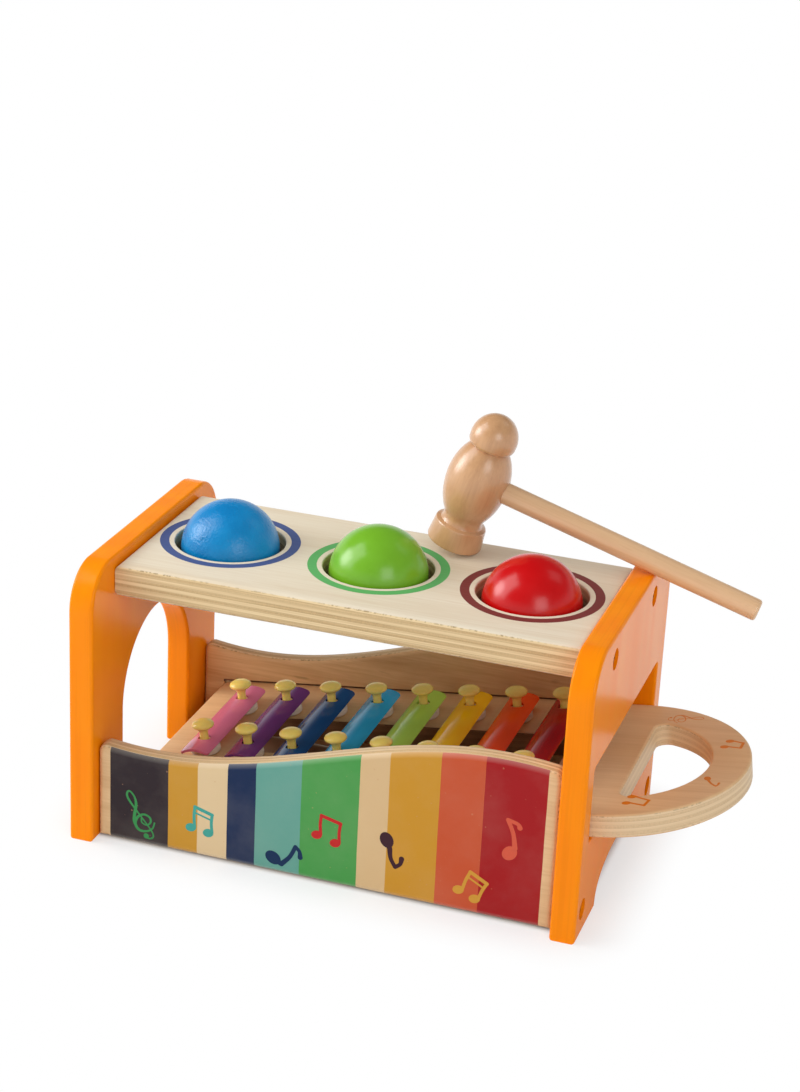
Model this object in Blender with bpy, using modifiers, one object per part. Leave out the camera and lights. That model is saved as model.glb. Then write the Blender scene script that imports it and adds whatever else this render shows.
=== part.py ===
"""Xylophone pounding bench: a ball bench over a slide-out tray of eight metal bars, with a mallet.

Metres, +Z up. +X runs along the bench towards the tray's handle, and -Y is the striped front.
The origin is on the floor, under the middle of the whole toy's length.
"""
import math

import bmesh
import bpy
from mathutils import Matrix, Vector

# Gaps, and how round things are faceted
GAP = 0.0003
OVERRUN = 0.004
CUT_LAP = 0.0006
ARC_STEP = math.radians(11.25)
WELD = 0.000002

# The two end panels
BENCH_LENGTH = 0.237
BENCH_DEPTH = 0.142
BENCH_HEIGHT = 0.1315
PANEL_THICK = 0.0115
PANEL_CORNER = 0.020
PANEL_EDGE = 0.0015
LEFT_ARCH_HALF = 0.0375
LEFT_ARCH_TOP = 0.089
RIGHT_ARCH_HALF = 0.036
RIGHT_ARCH_TOP = 0.0155
RIGHT_ARCH_POWER = 2.6
RIGHT_ARCH_STEPS = 20

# The top board with its three holes, let in between the end panels a little below their tops
BOARD_SINK = 0.004
BOARD_THICK = 0.015
BOARD_DEPTH = 0.096
BOARD_EDGE = 0.0016
HOLE_RADIUS = 0.0252

# The balls, how far their centres lie under the board's top, and the rubber sheet that grips them
BALL_RADIUS = 0.0225
BALL_DROPS = {"blue_ball": 0.0035, "green_ball": 0.0037, "red_ball": 0.0055}
BALL_SEGMENTS = 28
BALL_RINGS = 14
GRIP_THICK = 0.002
GRIP_SIDE_MARGIN = 0.015
GRIP_END_MARGIN = 0.010

# The waved front and rear panels; each wave runs from its low point near the left end to its crest
FRONT_INSET = 0.005
FRONT_THICK = 0.0095
REAR_THICK = 0.008
PANEL_LIFT = 0.0015
WAVE_EDGE = 0.0018
FRONT_WAVE_MIDDLE = 0.0627
FRONT_WAVE_RISE = 0.0162
FRONT_LOW_FROM_END = 0.025
FRONT_CREST_FROM_END = 0.025
REAR_WAVE_MIDDLE = 0.0618
REAR_WAVE_RISE = 0.0172
REAR_LOW_FROM_END = 0.026
REAR_CREST_FROM_END = 0.030
WAVE_STEPS = 26

# The xylophone tray, in its own tilted frame: s along it, y across, h above its top face
TRAY_TILT = math.radians(7.7)
TRAY_TOP = 0.0405
TRAY_LAP = 0.0011
TRAY_THICK = 0.011
TRAY_FROM_END = 0.011
TRAY_CORNER = 0.006
TRAY_EDGE = 0.0012
HANDLE_BAND = 0.0176
FINGER_HOLE_FROM_CENTRE = 0.0078
FINGER_HOLE_CORNER = 0.005
SOUND_SLOT_MARGIN = 0.004
SOUND_SLOT_FROM_FIRST_BAR = 0.0108
SOUND_SLOT_PAST_LAST_BAR = 0.0085
SOUND_SLOT_CORNER = 0.004
GROOVE_PLAY = 0.0004
GROOVE_END_PLAY = 0.0006

# The slot in the right end panel that the tray runs through
TRAY_SLOT_PLAY = 0.0008
TRAY_SLOT_HEADROOM = 0.0215
TRAY_SLOT_CORNER = 0.002

# The bars and what holds them
BAR_COLOURS = [
    ("pink", (0.58, 0.08, 0.22)),
    ("purple", (0.11, 0.03, 0.15)),
    ("navy", (0.010, 0.045, 0.17)),
    ("sky_blue", (0.03, 0.22, 0.46)),
    ("light_green", (0.19, 0.42, 0.05)),
    ("yellow", (0.72, 0.35, 0.01)),
    ("orange_red", (0.58, 0.06, 0.01)),
    ("dark_red", (0.26, 0.008, 0.012)),
]
FIRST_BAR_FROM_END = 0.0232
LAST_BAR_FROM_END = 0.0235
BAR_WIDTH = 0.0144
BAR_THICK = 0.0012
BAR_ANGLE = math.radians(36)
BAR_CORNER = 0.003
LONGEST_BAR_MARGIN = 0.00775
BAR_GROWTH = 0.0035
PIN_INSET = 0.0135
PIN_INSET_GROWTH = 0.0001
BAR_HOLE_RADIUS = 0.003
SPACER_RADIUS = 0.007
SPACER_HEIGHT = 0.0037
SPACER_SIDES = 14
PIN_RADIUS = 0.002
PIN_FLARE = 0.0016
PIN_HEAD_RADIUS = 0.0052
PIN_HEAD_HEIGHT = 0.0046
PIN_TOP = 0.016
PIN_DEPTH = 0.0088
PIN_SIDES = 12
PIN_HEAD_ANGLES = [math.radians(angle) for angle in (90, 58, 28, 0, -30, -58)]

# The screws through the end panels
SCREW_RADIUS = 0.0018
SCREW_HEAD_RADIUS = 0.0042
SCREW_HEAD_DEPTH = 0.0024
SCREW_LENGTH = 0.030
SCREW_SIDES = 12
SCREW_RECESS_RADIUS = 0.0048
SCREW_RECESS_DEPTH = 0.0036
TOP_SCREW_MARGIN = 0.0115
LOW_SCREW_HEIGHT = 0.0125

# The mallet: a turned head on a round handle
HEAD_LENGTH = 0.066
FACE_RADIUS = 0.01285
FACE_EDGE = 0.001
FACE_HEIGHT = 0.0105
FACE_TOP_RADIUS = 0.012
WAIST_RADIUS = 0.00935
WAIST_HEIGHT = 0.0135
BARREL_FOOT_RADIUS = 0.0100
BARREL_FOOT_HEIGHT = 0.0155
BELLY_RADIUS = 0.0145
BELLY_HEIGHT = 0.0325
NECK_RADIUS = 0.0085
NECK_HEIGHT = 0.050
BARREL_STEPS = 5
CAP_RADIUS = 0.0109
CAP_LIP_HEIGHT = 0.0508
CAP_WIDEST_HEIGHT = 0.0545
HEAD_SIDES = 24
MALLET_HANDLE_RADIUS = 0.005
MALLET_HANDLE_REACH = 0.138
MALLET_SOCKET_START = -0.006
MALLET_HANDLE_EDGE = 0.0015
MALLET_MARGIN = 0.014

# What follows from the sizes above: the bench
INNER_X = BENCH_LENGTH / 2 - PANEL_THICK
FRONT_FACE = BENCH_DEPTH / 2 - FRONT_INSET
INNER_FRONT = FRONT_FACE - FRONT_THICK
BOARD_TOP = BENCH_HEIGHT - BOARD_SINK
BOARD_UNDER = BOARD_TOP - BOARD_THICK
HOLE_SPACING = 2 * INNER_X / 3
MALLET_SIDE = BOARD_DEPTH / 2 - MALLET_MARGIN
MALLET_STAND = HOLE_SPACING / 3
TOP_SCREW_SIDE = BOARD_DEPTH / 2 - TOP_SCREW_MARGIN
SCREW_ROWS = {
    "top_front": (-TOP_SCREW_SIDE, BOARD_TOP - BOARD_THICK / 2),
    "top_rear": (TOP_SCREW_SIDE, BOARD_TOP - BOARD_THICK / 2),
    "low_front": (-(INNER_FRONT + FRONT_THICK / 2), LOW_SCREW_HEIGHT),
    "low_rear": (INNER_FRONT + REAR_THICK / 2, LOW_SCREW_HEIGHT),
}

# The tray, its slot and its bars
TRAY_HALF = INNER_FRONT + TRAY_LAP
TRAY_LEFT_END = -INNER_X + TRAY_FROM_END
HANDLE_CENTRE = BENCH_LENGTH / 2 - GAP
HANDLE_TIP = HANDLE_CENTRE + TRAY_HALF
FINGER_HOLE_START = HANDLE_CENTRE + FINGER_HOLE_FROM_CENTRE
TRAY_SLOT_HALF = TRAY_HALF + TRAY_SLOT_PLAY
TRAY_SLOT_BOTTOM = (
    TRAY_TOP + INNER_X * math.tan(TRAY_TILT) - TRAY_THICK / math.cos(TRAY_TILT) - TRAY_SLOT_PLAY
)
TRAY_SLOT_TOP = TRAY_TOP + BENCH_LENGTH / 2 * math.tan(TRAY_TILT) + TRAY_SLOT_HEADROOM
BAR_GAPS = len(BAR_COLOURS) - 1
FIRST_BAR = TRAY_LEFT_END + FIRST_BAR_FROM_END
LAST_BAR = INNER_X - LAST_BAR_FROM_END
BAR_PITCH = (LAST_BAR - FIRST_BAR) / BAR_GAPS
SHORTEST_BAR = 2 * (INNER_FRONT - LONGEST_BAR_MARGIN) - BAR_GROWTH * BAR_GAPS
SOUND_SLOT_HALF = SHORTEST_BAR / 2 - PIN_INSET - SOUND_SLOT_MARGIN
SOUND_SLOT_START = FIRST_BAR + SOUND_SLOT_FROM_FIRST_BAR
SOUND_SLOT_END = LAST_BAR + SOUND_SLOT_PAST_LAST_BAR
BAR_OUTER = BAR_WIDTH / 2 / math.sin(BAR_ANGLE)
BAR_SEAT = SPACER_HEIGHT + GAP

# The whole toy: from the left end panel to the tip of the handle
TOY_REACH = (
    (HANDLE_TIP - TRAY_EDGE) * math.cos(TRAY_TILT)
    + (TRAY_THICK - TRAY_EDGE) * math.sin(TRAY_TILT)
    + TRAY_EDGE
)
ORIGIN_X = -(TOY_REACH - BENCH_LENGTH / 2) / 2


def clear_scene():
    for obj in list(bpy.data.objects):
        bpy.data.objects.remove(obj, do_unlink=True)


def new_collection(name):
    collection = bpy.data.collections.new(name)
    bpy.context.scene.collection.children.link(collection)
    return collection


clear_scene()
TOY = new_collection("xylophone_pounding_bench")
CUTTERS = new_collection("cutters")


def material(name, colour, roughness, metallic=0.0):
    made = bpy.data.materials.new(name)
    made.use_nodes = True
    shader = made.node_tree.nodes["Principled BSDF"]
    shader.inputs["Base Color"].default_value = (*colour, 1.0)
    shader.inputs["Roughness"].default_value = roughness
    shader.inputs["Metallic"].default_value = metallic
    return made


ORANGE = material("orange_paint", (0.91, 0.26, 0.012), 0.38)
PLY = material("plywood", (0.76, 0.60, 0.42), 0.55)
TRAY_PLY = material("tray_plywood", (0.62, 0.37, 0.18), 0.55)
BEECH = material("beech", (0.58, 0.33, 0.15), 0.45)
RUBBER = material("rubber", (0.02, 0.02, 0.02), 0.8)
CREAM = material("cream_plastic", (0.74, 0.60, 0.25), 0.35)
WHITE = material("white_foam", (0.80, 0.78, 0.72), 0.9)
BRASSY = material("painted_screw", (0.60, 0.28, 0.03), 0.4, 0.5)
BALL_MATERIALS = {
    "blue_ball": material("blue_paint", (0.01, 0.20, 0.56), 0.2),
    "green_ball": material("green_paint", (0.18, 0.51, 0.03), 0.2),
    "red_ball": material("red_paint", (0.60, 0.008, 0.010), 0.2),
}


def link(obj, surface, parent, collection=None):
    (collection or TOY).objects.link(obj)
    obj.parent = parent
    if surface:
        obj.data.materials.clear()
        obj.data.materials.append(surface)
    return obj


def empty(name, location, rotation, parent=None):
    obj = bpy.data.objects.new(name, None)
    obj.location = location
    obj.rotation_euler = rotation
    TOY.objects.link(obj)
    obj.parent = parent
    return obj


def arc(centre, radius, start, end, step=ARC_STEP):
    """Points from one angle to another, both ends included."""
    count = max(2, round(abs(end - start) / step))
    angles = [start + (end - start) * i / count for i in range(count + 1)]
    return [(centre[0] + radius * math.cos(a), centre[1] + radius * math.sin(a)) for a in angles]


def circle(centre, radius, sides):
    return [(centre[0] + radius * math.cos(2 * math.pi * i / sides),
             centre[1] + radius * math.sin(2 * math.pi * i / sides)) for i in range(sides)]


def rounded_box(low, high, radius):
    """A rectangle from its low corner to its high one, with round corners."""
    corners = [
        ((high[0] - radius, high[1] - radius), 0.0),
        ((low[0] + radius, high[1] - radius), math.pi / 2),
        ((low[0] + radius, low[1] + radius), math.pi),
        ((high[0] - radius, low[1] + radius), 3 * math.pi / 2),
    ]
    points = []
    for centre, start in corners:
        points += arc(centre, radius, start, start + math.pi / 2, 2 * ARC_STEP)
    return points


def flat_piece(name, outlines, thickness, edge=0.0):
    """A plate in its own XY plane, thickness along Z, from closed outlines; inner ones are holes."""
    curve = bpy.data.curves.new(name, "CURVE")
    curve.dimensions = "2D"
    curve.fill_mode = "BOTH"
    curve.extrude = thickness / 2 - edge
    curve.bevel_depth = edge
    curve.bevel_resolution = 1 if edge else 0
    curve.offset = -edge
    curve.resolution_u = 1
    for outline in outlines:
        spline = curve.splines.new("POLY")
        spline.points.add(len(outline) - 1)
        for point, (x, y) in zip(spline.points, outline):
            point.co = (x, y, 0.0, 1.0)
        spline.use_cyclic_u = True
    holder = bpy.data.objects.new(name, curve)
    TOY.objects.link(holder)
    bpy.context.view_layer.update()
    evaluated = holder.evaluated_get(bpy.context.evaluated_depsgraph_get())
    mesh = bpy.data.meshes.new_from_object(evaluated)
    bpy.data.objects.remove(holder, do_unlink=True)
    bpy.data.curves.remove(curve)
    mesh.name = name
    shape = bmesh.new()
    shape.from_mesh(mesh)
    bmesh.ops.remove_doubles(shape, verts=shape.verts, dist=WELD)
    bmesh.ops.recalc_face_normals(shape, faces=shape.faces)
    shape.to_mesh(mesh)
    shape.free()
    return bpy.data.objects.new(name, mesh)


def turned(name, profile, sides, closed=False):
    """A shape turned about Z from (radius, height) points that run from its top to its bottom."""
    mesh = bpy.data.meshes.new(name)
    count = len(profile)
    edges = [(i, i + 1) for i in range(count - 1)]
    if closed:
        edges.append((count - 1, 0))
    mesh.from_pydata([(radius, 0.0, height) for radius, height in profile], edges, [])
    obj = bpy.data.objects.new(name, mesh)
    spin = obj.modifiers.new("turn", "SCREW")
    spin.axis = "Z"
    spin.angle = 2 * math.pi
    spin.steps = sides
    spin.render_steps = sides
    spin.use_merge_vertices = True
    spin.merge_threshold = WELD
    spin.use_smooth_shade = True
    return obj


def cylinder_mesh(name, radius, length, sides, places=((0.0, 0.0, 0.0),)):
    """One or more upright cylinders in one mesh, each centred on its place."""
    shape = bmesh.new()
    for place in places:
        bmesh.ops.create_cone(shape, cap_ends=True, segments=sides, radius1=radius, radius2=radius,
                              depth=length, matrix=Matrix.Translation(place))
    mesh = bpy.data.meshes.new(name)
    shape.to_mesh(mesh)
    shape.free()
    return bpy.data.objects.new(name, mesh)


def box_mesh(name, low, high):
    size = Vector(high) - Vector(low)
    shape = bmesh.new()
    bmesh.ops.create_cube(shape, size=1.0, matrix=Matrix.Diagonal((*size, 1.0)))
    bmesh.ops.translate(shape, verts=shape.verts, vec=(Vector(high) + Vector(low)) / 2)
    mesh = bpy.data.meshes.new(name)
    shape.to_mesh(mesh)
    shape.free()
    return bpy.data.objects.new(name, mesh)


def cut(obj, cutter, parent):
    """Takes the cutter's space out of an object; the cutter itself stays as a guide."""
    link(cutter, None, parent, CUTTERS)
    cutter.hide_render = True
    cutter.display_type = "WIRE"
    step = obj.modifiers.new("cut_" + cutter.name, "BOOLEAN")
    step.operation = "DIFFERENCE"
    step.solver = "EXACT"
    step.object = cutter


def panel_outline(feet):
    """An end panel's outline, from its right foot round the top to its left foot and the arch."""
    half = BENCH_DEPTH / 2
    side = half - PANEL_CORNER
    top = BENCH_HEIGHT - PANEL_CORNER
    outline = [(half, 0.0)]
    outline += arc((side, top), PANEL_CORNER, 0.0, math.pi / 2)
    outline += arc((-side, top), PANEL_CORNER, math.pi / 2, math.pi)
    outline.append((-half, 0.0))
    return outline + feet


def left_arch():
    """The tall arch that the balls roll out through, from its left leg to its right leg."""
    spring = LEFT_ARCH_TOP - LEFT_ARCH_HALF
    crown = arc((0.0, spring), LEFT_ARCH_HALF, math.pi, 0.0)
    return [(-LEFT_ARCH_HALF, 0.0)] + crown + [(LEFT_ARCH_HALF, 0.0)]


def right_arch():
    """The low arch between the right panel's feet, a squared ellipse."""
    points = []
    for i in range(RIGHT_ARCH_STEPS + 1):
        angle = math.pi * (1 - i / RIGHT_ARCH_STEPS)
        across = math.copysign(abs(math.cos(angle)) ** (2 / RIGHT_ARCH_POWER), math.cos(angle))
        up = abs(math.sin(angle)) ** (2 / RIGHT_ARCH_POWER) if 0 < i < RIGHT_ARCH_STEPS else 0.0
        points.append((RIGHT_ARCH_HALF * across, RIGHT_ARCH_TOP * up))
    return points


def end_panel(name, side, outlines, bench):
    """An end panel stands in the YZ plane; side is -1 on the left and 1 on the right."""
    panel = flat_piece(name, outlines, PANEL_THICK, PANEL_EDGE)
    panel.location = (side * (BENCH_LENGTH - PANEL_THICK) / 2, 0.0, 0.0)
    panel.rotation_euler = (math.pi / 2, 0.0, math.pi / 2)
    link(panel, ORANGE, bench)
    places = [(across, up, 0.0) for across, up in SCREW_ROWS.values()]
    through = PANEL_THICK + OVERRUN
    holes = cylinder_mesh(name + "_screw_holes", SCREW_RADIUS + GAP, through, SCREW_SIDES, places)
    cut(panel, holes, panel)
    depth = SCREW_RECESS_DEPTH + CUT_LAP
    outside = PANEL_THICK / 2 - SCREW_RECESS_DEPTH + depth / 2
    sunk = [(across, up, side * outside) for across, up in SCREW_ROWS.values()]
    recesses = cylinder_mesh(name + "_recesses", SCREW_RECESS_RADIUS, depth, SCREW_SIDES, sunk)
    cut(panel, recesses, panel)
    return panel


def screw(name, side, across, up, bench):
    """A countersunk screw; its own +Z points out of the end panel that it holds."""
    seat = SCREW_RECESS_DEPTH - GAP
    head = BENCH_LENGTH / 2 - seat + SCREW_HEAD_DEPTH
    profile = [
        (0.0, 0.0),
        (SCREW_HEAD_RADIUS, 0.0),
        (SCREW_HEAD_RADIUS, -SCREW_HEAD_DEPTH),
        (SCREW_RADIUS, -SCREW_HEAD_DEPTH),
        (SCREW_RADIUS, SCREW_RADIUS - SCREW_LENGTH),
        (0.0, -SCREW_LENGTH),
    ]
    piece = turned(name, profile, SCREW_SIDES)
    piece.location = (side * head, across, up)
    piece.rotation_euler = (0.0, side * math.pi / 2, 0.0)
    link(piece, BRASSY, bench)


def screw_bores(host, across, up, bench):
    """Holes for one row of screws in both ends of a board or panel that lies between the panels."""
    reach = SCREW_LENGTH - PANEL_THICK + SCREW_RECESS_DEPTH + GAP
    for side, word in ((-1, "left"), (1, "right")):
        length = reach + OVERRUN
        centre = side * (INNER_X + OVERRUN - length / 2)
        bore = cylinder_mesh(f"{host.name}_bore_{word}_{across:.4f}", SCREW_RADIUS + GAP, length, SCREW_SIDES)
        bore.location = (centre, across, up)
        bore.rotation_euler = (0.0, math.pi / 2, 0.0)
        cut(host, bore, bench)


def ball_places():
    return {name: (i - 1) * HOLE_SPACING for i, name in enumerate(BALL_DROPS)}


def top_board(bench):
    half = INNER_X - GAP
    side = BOARD_DEPTH / 2
    outline = [(-half, -side), (half, -side), (half, side), (-half, side)]
    sides = round(2 * math.pi / ARC_STEP)
    holes = [circle((x, 0.0), HOLE_RADIUS, sides) for x in ball_places().values()]
    board = flat_piece("top_board", [outline] + holes, BOARD_THICK, BOARD_EDGE)
    board.location = (0.0, 0.0, BOARD_TOP - BOARD_THICK / 2)
    link(board, PLY, bench)
    reach = half - GRIP_END_MARGIN + GAP
    recess = box_mesh(
        "grip_recess",
        (-reach, GRIP_SIDE_MARGIN - BOARD_DEPTH / 2 - GAP, BOARD_UNDER - OVERRUN),
        (reach, BOARD_DEPTH / 2 - GRIP_SIDE_MARGIN + GAP, BOARD_UNDER + GRIP_THICK + GAP),
    )
    cut(board, recess, bench)
    for row in ("top_front", "top_rear"):
        screw_bores(board, *SCREW_ROWS[row], bench)


def grip_radius(ball_drop):
    """The sheet's hole just clears its ball where the ball is widest inside the sheet."""
    down = BOARD_THICK - ball_drop - GRIP_THICK
    return math.sqrt(BALL_RADIUS ** 2 - down ** 2) + GAP


def grip_sheet(bench):
    half = INNER_X - GAP - GRIP_END_MARGIN
    side = BOARD_DEPTH / 2 - GRIP_SIDE_MARGIN
    outline = [(-half, -side), (half, -side), (half, side), (-half, side)]
    sides = round(2 * math.pi / ARC_STEP)
    places = ball_places()
    # A faceted circle is drawn a little wide, so that its flats clear the ball too.
    wide = 1 / math.cos(math.pi / sides)
    holes = []
    for name, drop in BALL_DROPS.items():
        holes.append(circle((places[name], 0.0), grip_radius(drop) * wide, sides))
    sheet = flat_piece("ball_grip_sheet", [outline] + holes, GRIP_THICK)
    sheet.location = (0.0, 0.0, BOARD_UNDER + GRIP_THICK / 2)
    link(sheet, RUBBER, bench)


def balls(bench):
    for name, x in ball_places().items():
        shape = bmesh.new()
        bmesh.ops.create_uvsphere(shape, u_segments=BALL_SEGMENTS, v_segments=BALL_RINGS, radius=BALL_RADIUS)
        mesh = bpy.data.meshes.new(name)
        shape.to_mesh(mesh)
        shape.free()
        mesh.shade_smooth()
        ball = bpy.data.objects.new(name, mesh)
        ball.location = (x, 0.0, BOARD_TOP - BALL_DROPS[name])
        link(ball, BALL_MATERIALS[name], bench)


def waved_panel(name, side, thickness, middle, rise, low_from_end, crest_from_end, bench, tray_frame):
    """The front (side -1) or rear (side 1) panel, its top edge half a wave, its face grooved."""
    half = INNER_X - GAP
    start = -INNER_X + low_from_end
    length = INNER_X - crest_from_end - start
    outline = [(-half, PANEL_LIFT), (half, PANEL_LIFT)]
    for i in range(WAVE_STEPS + 1):
        x = half - 2 * half * i / WAVE_STEPS
        outline.append((x, middle - rise * math.cos(math.pi * (x - start) / length)))
    panel = flat_piece(name, [outline], thickness, WAVE_EDGE)
    panel.location = (0.0, side * (INNER_FRONT + thickness / 2), 0.0)
    panel.rotation_euler = (math.pi / 2, 0.0, 0.0)
    link(panel, PLY, bench)
    inner = INNER_FRONT - OVERRUN
    outer = TRAY_HALF + GROOVE_PLAY
    low_y, high_y = (inner, outer) if side > 0 else (-outer, -inner)
    groove = box_mesh(
        name + "_groove",
        (TRAY_LEFT_END - GROOVE_END_PLAY, low_y, -TRAY_THICK - GROOVE_PLAY),
        (BENCH_LENGTH / 2, high_y, GROOVE_PLAY),
    )
    cut(panel, groove, tray_frame)
    row = "low_front" if side < 0 else "low_rear"
    screw_bores(panel, *SCREW_ROWS[row], bench)


def tray_outline():
    """Square at its left end, and round at its right end where it is the handle."""
    inset = TRAY_HALF - TRAY_CORNER
    left = TRAY_LEFT_END + TRAY_CORNER
    outline = arc((HANDLE_CENTRE, 0.0), TRAY_HALF, -math.pi / 2, math.pi / 2, ARC_STEP / 2)
    outline += arc((left, inset), TRAY_CORNER, math.pi / 2, math.pi, 2 * ARC_STEP)
    outline += arc((left, -inset), TRAY_CORNER, math.pi, 3 * math.pi / 2, 2 * ARC_STEP)
    return outline


def finger_hole():
    """A D: a straight side next to the bench, then an arc concentric with the handle."""
    radius = TRAY_HALF - HANDLE_BAND
    corner = FINGER_HOLE_CORNER
    along = FINGER_HOLE_START + corner - HANDLE_CENTRE
    across = math.sqrt((radius - corner) ** 2 - along ** 2)
    turn = math.atan2(across, along)
    centre = (HANDLE_CENTRE + along, across)
    mirror = (centre[0], -across)
    outline = arc((HANDLE_CENTRE, 0.0), radius, -turn, turn, ARC_STEP / 2)
    outline += arc(centre, corner, turn, math.pi, 2 * ARC_STEP)[1:]
    outline += arc(mirror, corner, math.pi, 2 * math.pi - turn, 2 * ARC_STEP)[:-1]
    return outline


def pin_half(k):
    """Half the distance between a bar's two pins; bar 0 is the shortest."""
    return (SHORTEST_BAR + BAR_GROWTH * k) / 2 - PIN_INSET - PIN_INSET_GROWTH * k


def pin_places():
    """Name ending, s and y of each pin, front row first in each pair."""
    places = []
    for k in range(len(BAR_COLOURS)):
        s = FIRST_BAR + BAR_PITCH * k
        places.append((f"front_{k + 1}", s, -pin_half(k)))
        places.append((f"rear_{k + 1}", s, pin_half(k)))
    return places


def tray_board(tray_frame):
    low = (SOUND_SLOT_START, -SOUND_SLOT_HALF)
    high = (SOUND_SLOT_END, SOUND_SLOT_HALF)
    slot = rounded_box(low, high, SOUND_SLOT_CORNER)
    board = flat_piece("xylophone_board", [tray_outline(), finger_hole(), slot], TRAY_THICK, TRAY_EDGE)
    board.location = (0.0, 0.0, -TRAY_THICK / 2)
    link(board, TRAY_PLY, tray_frame)
    places = [(s, y, -TRAY_THICK / 2) for _, s, y in pin_places()]
    holes = cylinder_mesh("pin_holes", PIN_RADIUS + GAP, TRAY_THICK + OVERRUN, PIN_SIDES, places)
    cut(board, holes, tray_frame)


def bar_mesh(name, length):
    """A plate with round corners, bent to an arc about its own length; its lowest edge is at z 0."""
    half = length / 2
    outline = arc((BAR_WIDTH / 2 - BAR_CORNER, half - BAR_CORNER), BAR_CORNER, 0.0, math.pi / 2, 2 * ARC_STEP)
    edge = [(x / BAR_OUTER, y) for x, y in outline]
    spread = BAR_ANGLE / (BAR_WIDTH / 2 / BAR_OUTER)
    right = [(angle * spread, y) for angle, y in edge]
    stations = [(-angle, y) for angle, y in right] + [(0.0, half)] + right[::-1]
    inner = BAR_OUTER - BAR_THICK
    base = inner * math.cos(BAR_ANGLE)
    shape = bmesh.new()
    rows = []
    for angle, y in stations:
        row = []
        for radius, end in ((BAR_OUTER, y), (BAR_OUTER, -y), (inner, -y), (inner, y)):
            row.append(shape.verts.new((radius * math.sin(angle), end, radius * math.cos(angle) - base)))
        rows.append(row)
    for near, far in zip(rows, rows[1:]):
        for i in range(4):
            j = (i + 1) % 4
            shape.faces.new((near[i], near[j], far[j], far[i]))
    shape.faces.new(rows[0])
    shape.faces.new(rows[-1])
    bmesh.ops.recalc_face_normals(shape, faces=shape.faces)
    mesh = bpy.data.meshes.new(name)
    shape.to_mesh(mesh)
    shape.free()
    return bpy.data.objects.new(name, mesh)


def bars(tray_frame):
    for k, (colour, rgb) in enumerate(BAR_COLOURS):
        s = FIRST_BAR + BAR_PITCH * k
        bar = bar_mesh("bar_" + colour, SHORTEST_BAR + BAR_GROWTH * k)
        bar.location = (s, 0.0, BAR_SEAT)
        link(bar, material(colour + "_enamel", rgb, 0.3, 0.6), tray_frame)
        places = [(s, side * pin_half(k), BAR_SEAT) for side in (-1, 1)]
        holes = cylinder_mesh(f"bar_{k + 1}_holes", BAR_HOLE_RADIUS, BAR_WIDTH, PIN_SIDES, places)
        cut(bar, holes, tray_frame)


def pins_and_spacers(tray_frame):
    bore = PIN_RADIUS + GAP
    ring = [
        (bore, SPACER_HEIGHT),
        (SPACER_RADIUS, SPACER_HEIGHT),
        (SPACER_RADIUS, GAP),
        (bore, GAP),
    ]
    rim = PIN_TOP - PIN_HEAD_HEIGHT / 2
    stem = [(PIN_HEAD_RADIUS * math.cos(a), rim + PIN_HEAD_HEIGHT / 2 * math.sin(a)) for a in PIN_HEAD_ANGLES]
    stem[0] = (0.0, PIN_TOP)
    stem += [
        (PIN_RADIUS, rim - PIN_HEAD_HEIGHT / 2 - PIN_FLARE),
        (PIN_RADIUS, -PIN_DEPTH),
        (0.0, -PIN_DEPTH),
    ]
    for ending, s, y in pin_places():
        spacer = turned("spacer_" + ending, ring, SPACER_SIDES, closed=True)
        spacer.location = (s, y, 0.0)
        link(spacer, WHITE, tray_frame)
        pin = turned("pin_" + ending, stem, PIN_SIDES)
        pin.location = (s, y, 0.0)
        link(pin, CREAM, tray_frame)


def barrel_half(end_radius, end_height):
    """Half of the head's barrel as an ellipse, from its belly to the given end, belly included."""
    turn = math.acos(end_radius / BELLY_RADIUS)
    reach = (end_height - BELLY_HEIGHT) / math.sin(turn)
    angles = [turn * i / BARREL_STEPS for i in range(BARREL_STEPS + 1)]
    return [(BELLY_RADIUS * math.cos(a), BELLY_HEIGHT + reach * math.sin(a)) for a in angles]


def head_profile():
    """The turned head, from the top of its cap down to its striking face."""
    cap = HEAD_LENGTH - CAP_WIDEST_HEIGHT
    profile = [(CAP_RADIUS * math.sin(a), CAP_WIDEST_HEIGHT + cap * math.cos(a))
               for a in (math.pi / 2 * i / 6 for i in range(7))]
    profile[0] = (0.0, HEAD_LENGTH)
    profile.append((CAP_RADIUS - FACE_EDGE / 2, CAP_LIP_HEIGHT))
    profile += barrel_half(NECK_RADIUS, NECK_HEIGHT)[::-1]
    profile += barrel_half(BARREL_FOOT_RADIUS, BARREL_FOOT_HEIGHT)[1:]
    profile += [
        (WAIST_RADIUS, WAIST_HEIGHT),
        (WAIST_RADIUS, FACE_HEIGHT + FACE_EDGE),
        (FACE_TOP_RADIUS - FACE_EDGE, FACE_HEIGHT),
        (FACE_TOP_RADIUS, FACE_HEIGHT - FACE_EDGE),
        (FACE_RADIUS, FACE_EDGE),
        (FACE_RADIUS - FACE_EDGE, 0.0),
        (0.0, 0.0),
    ]
    return profile


def mallet_tilt():
    """The mallet stands on the edge of its face and leans its handle on the right panel's top edge."""
    foot = FACE_RADIUS - FACE_EDGE
    under = BELLY_HEIGHT - MALLET_HANDLE_RADIUS - PANEL_EDGE - GAP
    run = BENCH_LENGTH / 2 - PANEL_EDGE - (MALLET_STAND + foot)
    rise = BENCH_HEIGHT - PANEL_EDGE - (BOARD_TOP + GAP)
    return math.asin(under / math.hypot(run, rise)) - math.atan2(rise, run)


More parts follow.
